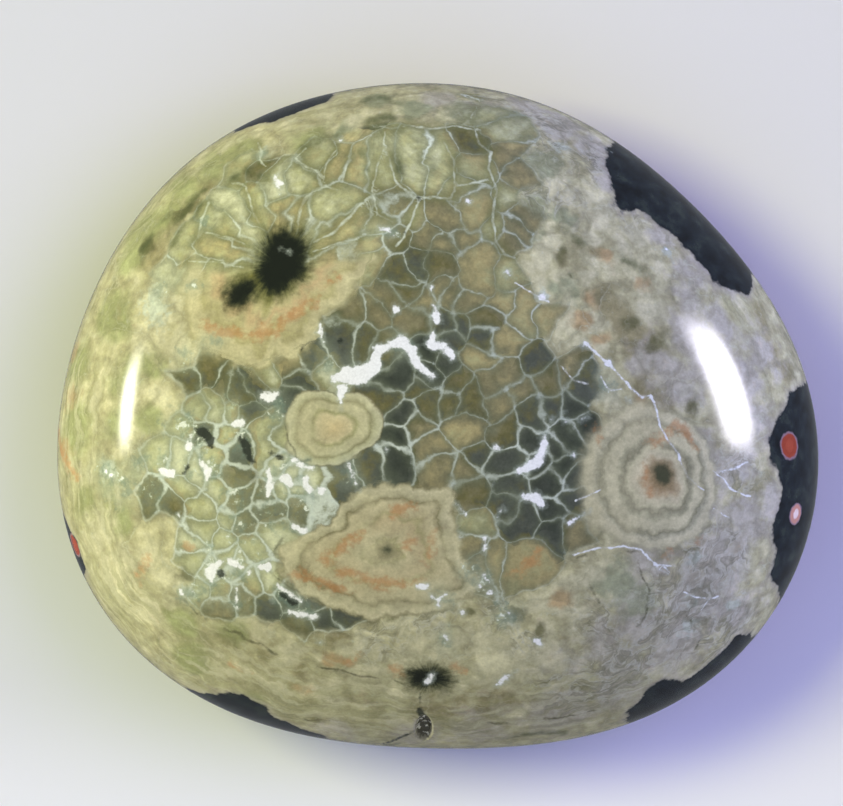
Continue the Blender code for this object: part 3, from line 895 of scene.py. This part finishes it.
# Moss
# Dark green wisps of chlorite, drawn out along the growth, in gaps between the orbs.
# The eye gets frayed streaks, up to about a millimetre wide.
MOSS = (
    ((360, 119, 3), (376, 117, 6), (391, 123, 3)), ((366, 101, 3), (384, 97, 5), (402, 104, 3)),
    ((546, 226, 2), (560, 230, 4), (572, 239, 6), (581, 244, 4)),
    ((620, 262, 2), (633, 266, 4), (646, 272, 2)), ((498, 738, 2), (530, 733, 5), (566, 733, 2)),
    ((382, 745, 2), (398, 744, 3)), ((228, 180, 3), (246, 170, 5), (268, 176, 3)),
    ((205, 190, 2), (190, 200, 4), (178, 222, 4)), ((300, 146, 2), (322, 134, 3), (345, 128, 2)),
    ((140, 262, 2), (150, 240, 4), (166, 218, 3)), ((198, 205, 1.5), (188, 224, 2.5), (176, 240, 2.5)),
    ((362, 150, 2), (372, 168, 2)), ((404, 152, 2), (400, 170, 2)),
)
moss = lay_on_mesh("moss", stroke_distance(MOSS, strayed))
colour = lay_over(colour, paint("#47502F"), moss, 0.5, fray=1.3, noise=mottle[1], strength=0.75)

# Round hearts
# The eye and the oval orb started on a round grain of dark green, and so did one little ringed orb.
# The eye gets a dark green dot in a narrow olive ring.
ROUND_HEARTS = (((662, 477, 11),), ((385, 549, 4),), ((249, 478, 4),))
round_heart = lay_on_mesh("round_hearts", stroke_distance(ROUND_HEARTS, strayed))
round_heart = add_shares(round_heart, (mottle[0], 0.8))
round_heart = add_node("Math", {0: round_heart, 1: 0.4}, operation="SUBTRACT")[0]
heart_ring = add_node("Math", {0: round_heart, 1: 0.5}, operation="SUBTRACT")[0]
colour = lay_over(colour, paint("#6D694C"), heart_ring, 0.3, fray=0.3, noise=crumb[0], strength=0.5)
colour = lay_over(colour, paint("#3A412E"), round_heart, 0.35, fray=0.5, noise=crumb[1], strength=0.9)

# Crumbs
# At the left the last quartz set as a crumbling sugar of white and blue-green grains in the gaps.
# The eye gets specks of both, under a thin pale veil.
CRUMBLING = (
    (105, 475, 18), (120, 490, 16), (160, 472, 22), (185, 430, 26), (200, 455, 24), (215, 470, 18),
    (228, 405, 14), (290, 478, 26), (305, 500, 18), (270, 490, 14), (215, 572, 26), (240, 568, 18),
    (262, 566, 14), (192, 592, 16), (285, 598, 18), (305, 612, 16), (235, 600, 14), (205, 545, 16),
    (345, 372, 16), (325, 360, 14), (345, 470, 16), (400, 345, 14), (484, 580, 16), (440, 600, 14),
    (515, 610, 12), (505, 610, 14), (212, 345, 14), (140, 460, 16), (385, 232, 12), (205, 225, 10),
    (262, 152, 10), (610, 385, 12), (445, 640, 12), (185, 355, 14), (235, 500, 24), (240, 530, 26),
    (280, 520, 24), (155, 490, 20), (240, 440, 20), (275, 410, 18), (160, 290, 16), (190, 285, 12),
    (475, 570, 14),
)
crumbling = lay_on_mesh("crumbling", spot_weight(CRUMBLING))
sugar = add_shares(0.80, (crumbling, -0.26))
blue_sugar = add_node("Mix", {0: 0.6, 2: crumb[1], 3: mottle[2]}, data_type="FLOAT")[0]
blue_sugar = add_node("Math", {0: sugar, 1: blue_sugar}, operation="SUBTRACT")[0]
blue_sugar = add_node("Math", {0: blue_sugar, 1: 0.04}, operation="SUBTRACT")[0]
white_sugar = add_node("Mix", {0: 0.45, 2: crumb[2], 3: mottle[1]}, data_type="FLOAT")[0]
white_sugar = add_node("Math", {0: sugar, 1: white_sugar}, operation="SUBTRACT")[0]
veil = add_node("Math", {0: 0.4, 1: crumbling}, operation="SUBTRACT")[0]
colour = lay_over(colour, paint("#B4BEA8"), veil, 0.4, fray=0.8, noise=mottle[2], strength=0.18)
colour = lay_over(colour, paint("#70857A"), blue_sugar, 0.09, strength=0.5)
colour = lay_over(colour, paint("#B9C3AF"), white_sugar, 0.05, strength=0.6)
white_sugar = add_node("Math", {0: white_sugar, 1: 0.035}, operation="ADD")[0]
colour = lay_over(colour, paint("#E0E4DA"), white_sugar, 0.03, strength=0.9)

# Pits
# Small hollows where a crystal fell out as the stone was ground, their insides painted dark with shade.
# The chip gets its tints here too: a pale rim, painted shade on its floor and a few painted glints on it.
PITS = (
    ((196, 430, 3), (204, 432, 5), (210, 440, 5), (211, 447, 2)),
    ((240, 436, 2), (245, 445, 5), (252, 462, 3)), ((221, 574, 5),), ((283, 594, 4), (294, 602, 4)),
    ((277, 397, 2),), ((419, 199, 3),), ((404, 233, 1),), ((302, 349, 2),), ((340, 341, 3),),
    ((283, 459, 2), (270, 452, 2)), ((184, 472, 2), (188, 466, 2)), ((420, 692, 0.8), (421, 704, 1)),
    ((419, 709, 2.5), (424, 719, 4.5), (420, 729, 3)), ((382, 744, 2), (400, 738, 1.5), (415, 731, 1)),
)
pit_shade = lay_on_mesh("pit_shade", stroke_distance(PITS))
# painted shade inside the pits and along the cracks
colour = lay_over(colour, paint("#2A2F27"), pit_shade, 0.14, fray=0.6, noise=crumb[2], strength=0.9)

chip_floor = lay_on_mesh("chip", chip_reach)
colour = lay_over(colour, paint("#BDB9A4"), chip_floor, 0.25, fray=0.8, noise=crumb[2], strength=0.7)
# painted shade on the chip's floor
chip_floor = add_node("Math", {0: chip_floor, 1: 0.25}, operation="ADD")[0]
colour = lay_over(colour, paint("#3A382C"), chip_floor, 0.25, fray=0.9, noise=crumb[1], strength=0.9)
# painted glints: highlights on the chip's floor
painted_chip_glint = add_node("Math", {0: 0.6, 1: crumb[0]}, operation="SUBTRACT")[0]
painted_chip_glint = add_node("Math", {0: painted_chip_glint, 1: chip_floor}, operation="MAXIMUM")[0]
colour = lay_over(colour, paint("#DAD9CC"), painted_chip_glint, 0.03, strength=0.9)

# Black hearts
# Tufts of needle-fine dark mineral at the heart of the flower orb and of the small orb below.
# The eye gets a fuzzy black spot whose edge runs out in threads.
BLACK_HEARTS = (
    ((283, 252, 25), (284, 264, 25), (275, 274, 22)),
    ((238, 294, 14), (250, 288, 11)),
    ((418, 678, 13), (438, 678, 13)),
)
blackness = lay_on_mesh("black_hearts", stroke_distance(BLACK_HEARTS))
threads = add_node("Math", {0: fibres, 1: crumb[0]}, operation="ADD")[0]
blackness = add_shares(blackness, (threads, 0.9), (mottle[1], 0.9))
blackness = add_node("Math", {0: blackness, 1: 1.5}, operation="SUBTRACT")[0]
colour = lay_over(colour, paint("#666838"), blackness, 1.1, strength=0.7)
blackness = add_node("Math", {0: blackness, 1: 0.12}, operation="ADD")[0]
colour = lay_over(colour, paint("#252C1C"), blackness, 0.8, strength=0.95)
blackness = add_node("Math", {0: blackness, 1: 0.5}, operation="ADD")[0]
colour = lay_over(colour, paint("#14190F"), blackness, 0.6, strength=0.9)

# The dark matrix
# The stone's other rock: green-black jasper that the pale orb layer settled on, seen at the rim and,
# as a guess, over most of the back. It has round red and pink orbs in pale rings.
MATRIX = (
    ((606, 145), (601, 175), (612, 206), (624, 216), (640, 213), (664, 228), (694, 258), (711, 279),
     (730, 294), (752, 300), (752, 275), (790, 260), (700, 130), (640, 120)),
    ((785, 393), (774, 415), (766, 441), (779, 486), (770, 525), (774, 552), (768, 580), (800, 640),
     (880, 560), (880, 420), (830, 360)),
    ((754, 630), (737, 632), (714, 656), (688, 678), (670, 675), (643, 693), (625, 712), (640, 760),
     (740, 760), (800, 680)),
    ((184, 686), (202, 690), (238, 692), (270, 706), (279, 719), (329, 736), (320, 790), (180, 760)),
    ((54, 491), (61, 502), (77, 538), (88, 574), (60, 620), (10, 560), (20, 480)),
    ((232, 134), (252, 126), (273, 122), (307, 111), (330, 103), (336, 90), (318, 74), (296, 78), (270, 66),
     (240, 84), (222, 112)),
)
matrix_reach = np.min([outline_distance(outline) for outline in MATRIX], axis=0)
BACK_EDGE = 7.0  # how far below the girdle the pale layer reaches, between the dark patches
BACK_LIMIT = 2.5  # how far below the girdle the back's dark rock stays at least
ISLAND_WAVE = 9.0
ISLAND_SWING = 7.0
islands = np.array([noise_vector(Vector(point) / ISLAND_WAVE).x for point in skin])
back = skin[:, 2] - (GIRDLE_HEIGHT - BACK_EDGE) + ISLAND_SWING * islands
back = np.maximum(back * 0.6, 0.9 * (skin[:, 2] - GIRDLE_HEIGHT + BACK_LIMIT))
matrix_reach = np.minimum(matrix_reach, back)
matrix = lay_on_mesh("matrix", matrix_reach)
matrix_stops = ((0.35, paint("#12161A")), (0.55, paint("#1E2529")), (0.75, paint("#333B35")))
matrix_colour = add_node("ValToRGB", {0: mottle[1]}, stops=matrix_stops)[0]
colour = lay_over(colour, paint("#A39A96"), matrix, 1.0, fray=1.4, noise=mottle[0], strength=0.55)
matrix_fray = add_shares(mottle[0], (crumb[0], 0.5))
colour = lay_over(colour, paint("#4E5149"), matrix, 0.5, fray=1.5, noise=matrix_fray, strength=0.7)
colour = lay_over(colour, matrix_colour, matrix, 0.2, fray=1.5, noise=matrix_fray)

# Red orbs
# Small balls of iron-red quartz in the dark rock, each with a thin pale ring, a few with a white heart.
# Those at the rim follow the photograph, and those on the back are a guess, sown by a seeded chance.
SEEN_ORBS = (
    (789.7, 445.6, 1.22, 0.0), (796.0, 514.0, 0.95, 1.0), (75.0, 545.0, 1.1, 0.0), (60.0, 520.0, 0.7, 1.0),
)
ORB_COUNT = 90
ORB_SEED = 11
sown = np.random.default_rng(ORB_SEED)
red_orbs = []
for across, down, radius, whiteness in SEEN_ORBS:
    red_orbs.append((on_crown((across, down))[0][0], radius, whiteness))
while len(red_orbs) < ORB_COUNT:
    spot = skin[sown.integers(len(skin))]
    radius = sown.uniform(0.4, 1.7)
    far_enough = all(np.linalg.norm(spot - other) > radius + size + 0.5 for other, size, _ in red_orbs)
    if spot[2] < GIRDLE_HEIGHT - 3.0 and far_enough:
        red_orbs.append((spot, radius, float(sown.uniform() < 0.35)))
red_share = np.full(len(skin), 3.0)
red_whiteness = np.zeros(len(skin))
for spot, radius, whiteness in red_orbs:
    share = np.linalg.norm(skin - spot, axis=1) / radius
    red_whiteness = np.where(share < red_share, whiteness, red_whiteness)
    red_share = np.minimum(red_share, share)
keep_on_mesh("red_orbs", "FLOAT_VECTOR", red_share, red_whiteness, np.zeros(len(skin)))
red = add_node("SeparateXYZ", {0: add_node("Attribute", attribute_name="red_orbs")["Vector"]})
in_rock = add_node("Math", {0: matrix, 1: 0.5}, operation="ADD")[0]
red_edge = add_shares(red[0], (crumb[0], 0.3))
red_edge = add_node("Math", {0: red_edge, 1: 0.15}, operation="SUBTRACT")[0]
red_body = add_node("Math", {0: red_edge, 1: 0.87}, operation="SUBTRACT")[0]
red_ring = add_node("Math", {0: red_edge, 1: 1.0}, operation="SUBTRACT")[0]
red_core = add_node("Math", {0: red_edge, 1: 0.45}, operation="SUBTRACT")[0]
red_colour = add_node("Mix", {0: red[1], 6: paint("#963F2B"), 7: paint("#BF8877")}, data_type="RGBA")[2]
red_heart = add_node("Mix", {0: red[1], 6: paint("#A04731"), 7: paint("#E2CDC4")}, data_type="RGBA")[2]
for tint, reach in ((paint("#8C757C"), red_ring), (red_colour, red_body), (red_heart, red_core)):
    reach = add_node("Math", {0: reach, 1: in_rock}, operation="MAXIMUM")[0]
    colour = lay_over(colour, tint, reach, 0.08)

# White quartz
# Late quartz that filled the last hollows: opaque, chalk-white and a little rough.
# The eye gets ragged white scraps and specks, whitest of all the stone; some of the specks are painted
# glints, highlights off crystal faces.
QUARTZ_AND_GLINTS = (
    ((334, 378, 5), (347, 376, 9), (360, 375, 10), (374, 367, 7), (377, 352, 6), (390, 345, 5),
     (403, 342, 7), (412, 350, 7)),
    ((412, 352, 6), (420, 366, 4), (432, 376, 5)), ((343, 388, 6), (339, 399, 3), (341, 407, 2)),
    ((431, 288, 1.5), (434, 300, 1.5), (436, 321, 5)),
    ((434, 330, 2), (430, 345, 5), (443, 346, 4), (452, 356, 5)), ((496, 447, 4.5),), ((456, 453, 3),),
    ((385, 450, 3),), ((396, 310, 5),), ((507, 273, 4),), ((542, 297, 4),),
    ((545, 436, 4), (543, 450, 6), (534, 464, 6), (518, 471, 4)),
    ((524, 496, 4), (535, 498, 7), (540, 503, 6)), ((497, 517, 2), (502, 508, 2)),
    ((484, 538, 2.5), (485, 550, 3)), ((461, 535, 3),), ((456, 503, 2), (466, 514, 3)),
    ((484, 576, 4), (488, 580, 3)), ((479, 585, 3),), ((490, 593, 3),), ((417, 586, 2.5), (427, 587, 2.5)),
    ((431, 596, 1.5), (439, 600, 2.5), (446, 594, 1.5)), ((438, 606, 2),), ((462, 612, 3),),
    ((509, 612, 2), (512, 622, 3)), ((444, 636, 2.5), (447, 640, 2)), ((536, 641, 3), (541, 645, 2)),
    ((379, 229, 2), (388, 230, 3), (394, 235, 2)), ((460, 94, 1.5), (473, 100, 1.5), (481, 100, 1.5)),
    ((509, 107, 2),), ((469, 202, 3),), ((495, 686, 2), (505, 678, 5), (516, 671, 2)),
    ((263, 396, 5), (272, 397, 7), (278, 394, 3)), ((190, 437, 3), (189, 446, 5)),
    ((232, 424, 3), (240, 423, 5)), ((103, 470, 3), (112, 476, 4)), ((160, 470, 3), (172, 474, 5)),
    ((200, 460, 3), (208, 472, 6), (206, 481, 3)), ((287, 456, 3), (300, 463, 4), (313, 469, 3)),
    ((268, 470, 4), (270, 484, 5), (268, 495, 4)), ((284, 478, 5), (290, 484, 4)),
    ((305, 478, 5), (309, 491, 5)), ((321, 491, 5),), ((350, 465, 3), (353, 476, 3), (358, 490, 2)),
    ((294, 527, 5), (305, 531, 5)), ((219, 563, 3), (210, 570, 6), (211, 582, 4)),
    ((228, 562, 3), (236, 564, 5), (242, 569, 3)), ((262, 566, 4), (268, 567, 5)), ((249, 574, 4),),
    ((181, 592, 5),), ((193, 594, 4),), ((278, 587, 4), (290, 595, 3), (300, 601, 3)), ((273, 601, 4),),
    ((290, 612, 4), (302, 615, 4), (313, 616, 5)), ((236, 585, 2), (237, 597, 2), (236, 606, 4)),
    ((320, 643, 3),), ((321, 322, 1), (320, 332, 4), (323, 342, 2)), ((241, 217, 1.5), (250, 226, 1.5)),
    ((276, 174, 2), (279, 185, 4), (279, 194, 2)), ((340, 140, 3),), ((280, 248, 1.8),), ((290, 251, 1.8),),
    ((425, 683, 3), (431, 677, 4), (436, 673, 2)), ((423, 722, 1.5),), ((611, 152, 1.6),),
    ((590, 138, 1.2),), ((667, 249, 1.6),), ((671, 260, 1.2),), ((686, 267, 1.2),), ((690, 283, 1.6),),
    ((704, 303, 1.4),), ((178, 514, 1.2), (183, 521, 1)), ((562, 413, 3),), ((565, 421, 3),),
    ((552, 418, 3),), ((580, 420, 2), (588, 416, 3)), ((573, 455, 3),), ((565, 368, 3),), ((565, 487, 3),),
    ((568, 524, 3), (577, 517, 3), (590, 511, 2)), ((628, 400, 3),), ((585, 344, 4),), ((608, 363, 4),),
)
# white quartz, and painted glints where crystal faces catch the light
quartz_and_glints = lay_on_mesh("quartz_and_glints", stroke_distance(QUARTZ_AND_GLINTS))
quartz_and_glints = add_shares(quartz_and_glints, (mottle[2], 0.9))
quartz_and_glints = add_node("Math", {0: quartz_and_glints, 1: 0.45}, operation="SUBTRACT")[0]
colour = lay_over(colour, paint("#B3BDB2"), quartz_and_glints, 0.3, fray=0.7, noise=crumb[1], strength=0.5)
quartz_and_glints = add_node("Math", {0: quartz_and_glints, 1: 0.12}, operation="ADD")[0]
colour = lay_over(colour, paint("#F1F1F4"), quartz_and_glints, 0.1, fray=0.55, noise=crumb[1])

# Veins
# Cracks that quartz healed, up to a third of a millimetre wide, across grains and orbs alike.
# The eye gets thin white lines that start, branch and stop.
VEINS = (
    ((585, 344, 0.8), (608, 363, 1.0), (630, 387, 0.8), (642, 397, 1.1), (651, 395, 0.8), (658, 413, 1.0),
     (659, 425, 0.6), (668, 440, 0.6), (679, 454, 1.1), (681, 464, 0.8), (688, 477, 0.6), (703, 490, 0.2)),
    ((713, 471, 0.2), (724, 479, 0.6), (729, 488, 0.5), (750, 497, 0.8)),
    ((716, 472, 0.8), (735, 468, 1.0), (757, 458, 0.3)),
    ((714, 509, 0.3), (722, 514, 0.6), (729, 518, 0.3)),
    ((600, 376, 0.6), (606, 388, 0.7), (612, 391, 0.6), (622, 389, 0.2)),
    ((515, 283, 0.3), (530, 292, 0.3), (548, 301, 0.7)),
    ((652, 560, 0.3), (658, 568, 0.5), (668, 574, 0.2)),
    ((572, 555, 0.6), (600, 548, 0.7), (625, 547, 0.6), (640, 550, 0.6), (658, 565, 0.6), (676, 566, 0.3)),
    ((684, 593, 0.3), (694, 596, 0.6), (705, 598, 0.3)),
    ((700, 612, 0.3), (708, 600, 0.5), (720, 596, 0.3)),
    ((576, 500, 0.6), (590, 495, 0.7), (600, 490, 0.3)),
    ((560, 366, 0.4), (574, 380, 0.6), (588, 384, 0.3)),
)
veins = fine_lines("veins", VEINS)
colour = lay_over(colour, paint("#C9CBC2"), veins, 0.12, fray=0.2, noise=mottle[2], strength=0.5)
colour = lay_over(colour, paint("#E6E8E6"), veins, 0.05, fray=0.3, noise=crumb[2], strength=0.95)

# Grit
# All jasper is a felt of quartz grains too fine to see, which breaks up even the calmest tint a little.
# The grains are drawn a fifth of a millimetre wide, as fine as shows.
GRIT = 0.2
grit = add_node("TexNoise", {"Vector": place, "Scale": 1 / GRIT, "Detail": 1.0, "Roughness": 0.6})["Fac"]
grit = add_shares(0.75, (grit, 0.3), (crumb[0], 0.2))
colour = add_node("VectorMath", {0: colour, "Scale": grit}, operation="SCALE")[0]

# The polish
# Tumbled in ever finer grit, jasper comes out as smooth as glass, with quartz's own low reflection.
# The eye gets two bright patches and, round them, colours that look wet.
tree.links.new(colour, polish.inputs["Base Color"])
polish.inputs["Roughness"].default_value = 0.09
polish.inputs["IOR"].default_value = 1.54
polish.inputs["Metallic"].default_value = 0.0

# The floor
# A wide sheet of matt white card, with painted light that makes it a little brighter on the side of the
# stone's chip.
# The polish doesn't mirror it.
FLOOR_SIZE = 3000.0
BRIGHTER_FROM = -22.0
BRIGHTEST_AT = -36.0
shape = bmesh.new()
bmesh.ops.create_grid(shape, x_segments=1, y_segments=1, size=FLOOR_SIZE / 2 * MM)
floor_mesh = bpy.data.meshes.new("card_floor")
shape.to_mesh(floor_mesh)
shape.free()
floor = bpy.data.objects.new("card_floor", floor_mesh)
bpy.context.scene.collection.objects.link(floor)
floor.visible_glossy = False  # so that the stone's shoulders mirror the dim room and stay dark
card = bpy.data.materials.new("matt_white_card")
card.use_nodes = True
tree = card.node_tree
# painted light: the card's colour brightens towards the chip's side
down_card = add_node("SeparateXYZ", {0: add_node("TexCoord")["Object"]})[1]
fall_off = {"Value": down_card, "From Min": BRIGHTER_FROM * MM, "From Max": BRIGHTEST_AT * MM}
painted_light_share = add_node("MapRange", fall_off, interpolation_type="SMOOTHSTEP")[0]
card_colour = {0: painted_light_share, 6: paint("#DCDCDE"), 7: paint("#EAEAEC")}
card_colour = add_node("Mix", card_colour, data_type="RGBA")[2]
paper = tree.nodes["Principled BSDF"]
tree.links.new(card_colour, paper.inputs["Base Color"])
paper.inputs["Roughness"].default_value = 0.9
paper.inputs["Specular IOR Level"].default_value = 0.1
floor_mesh.materials.append(card)

# The light
# A warm softbox stands low at the stone's left and a cool one at its right. The cloth of each glows softly
# towards its edges. Flags keep the low lights off the card, which has high ones of its own.
SOFT_EDGE = 0.42
LIGHTS = (
    ("left_softbox", 172.0, 20.0, 10.0, 800.0, 205.0, 190.0, "#FFFFD6", 7.4, "stone"),
    ("left_softbox_face", 172.0, 20.3, 12.0, 780.0, 290.0, 120.0, "#FFFFE4", 4.2, "shine"),
    ("right_softbox", 15.0, 15.0, -10.0, 820.0, 440.0, 190.0, "#B9C2FF", 8.0, "stone"),
    ("right_softbox_face", 15.8, 24.4, -6.0, 780.0, 490.0, 250.0, "#F4F2FF", 23.0, "shine"),
    ("right_softbox_cloth", 15.6, 24.0, -5.0, 800.0, 640.0, 420.0, "#E4E0FF", 2.7, "shine"),
    ("top_fill", -90.0, 80.0, 0.0, 800.0, 900.0, 900.0, "#F4F6FF", 1.5, "stone"),
    ("lower_fill", -82.0, 28.0, 0.0, 800.0, 600.0, 300.0, "#FFFCF4", 0.45, "stone"),
    ("upper_fill", 98.0, 28.0, 0.0, 800.0, 600.0, 300.0, "#FFFCF0", 0.9, "stone"),
    ("left_card_light", 158.0, 60.0, 0.0, 790.0, 240.0, 240.0, "#FFFF99", 3.6, "card"),
    ("right_card_light", 19.0, 60.0, 0.0, 790.0, 440.0, 440.0, "#BFAAFF", 2.3, "card"),
    ("card_fill", -90.0, 80.0, 0.0, 830.0, 900.0, 900.0, "#AABCFF", 3.6, "card"),
)
flags = {}
for lit, thing in (("stone", pebble), ("card", floor)):
    flags[lit] = bpy.data.collections.new("lit_" + lit)
    flags[lit].objects.link(thing)
for name, azimuth, elevation, roll, distance, width, height, code, power, lit in LIGHTS:
    lamp = bpy.data.lights.new(name, "AREA")
    lamp.shape = "RECTANGLE"
    lamp.size = width * MM
    lamp.size_y = height * MM
    lamp.energy = power
    lamp.color = paint(code)[:3]
    stand = bpy.data.objects.new(name, lamp)
    around = math.radians(azimuth)
    above = math.radians(elevation)
    away = Vector((math.cos(around) * math.cos(above), math.sin(around) * math.cos(above), math.sin(above)))
    stand.location = away * distance * MM
    stand.rotation_mode = "QUATERNION"
    rolled = Quaternion((0.0, 0.0, 1.0), math.radians(roll))
    stand.rotation_quaternion = away.to_track_quat("Z", "Y") @ rolled
    stand.visible_camera = False
    stand.visible_diffuse = lit != "shine"
    stand.visible_glossy = lit == "shine"
    bpy.context.scene.collection.objects.link(stand)
    if lit in flags:
        stand.light_linking.receiver_collection = flags[lit]
        continue
    lamp.use_nodes = True
    tree = lamp.node_tree
    cloth = add_node("NewGeometry")["Parametric"]
    cloth = add_node("VectorMath", {0: cloth, 1: (0.5, 0.5, 0.0)}, operation="SUBTRACT")[0]
    cloth = add_node("SeparateXYZ", {0: add_node("VectorMath", {0: cloth}, operation="ABSOLUTE")[0]})
    edge = {"From Min": 0.5, "From Max": 0.5 - SOFT_EDGE}
    along = add_node("MapRange", {"Value": cloth[0], **edge}, interpolation_type="SMOOTHSTEP")[0]
    across = add_node("MapRange", {"Value": cloth[1], **edge}, interpolation_type="SMOOTHSTEP")[0]
    cloth_glow = add_node("Math", {0: along, 1: across}, operation="MULTIPLY")[0]
    tree.links.new(cloth_glow, tree.nodes["Emission"].inputs["Strength"])
world = bpy.data.worlds.new("pale_room")
world.use_nodes = True
room = world.node_tree.nodes["Background"]
room.inputs["Color"].default_value = paint("#E6EBF2")
room.inputs["Strength"].default_value = 0.24
bpy.context.scene.world = world

# The camera
# It looks straight down on the crown, as the photograph does on the stone's best face.
# Its lens follows from the photograph's width and from its height over the girdle.
SENSOR = 36.0
PHOTO_WIDTH = 843
eye_x = (PHOTO_MIDDLE[0] - PHOTO_AXIS[0]) * PIXEL
eye_y = -(PHOTO_MIDDLE[1] - PHOTO_AXIS[1]) * PIXEL
camera_data = bpy.data.cameras.new("camera")
camera_data.sensor_width = SENSOR
camera_data.lens = SENSOR * CAMERA_RISE / (PHOTO_WIDTH * PIXEL)
camera_data.clip_start = 0.05
camera_data.clip_end = 10.0
camera = bpy.data.objects.new("camera", camera_data)
camera.location = (eye_x * MM, eye_y * MM, (GIRDLE_HEIGHT + CAMERA_RISE) * MM)
bpy.context.scene.collection.objects.link(camera)
bpy.context.scene.camera = camera
bpy.context.scene.view_settings.view_transform = "Standard"
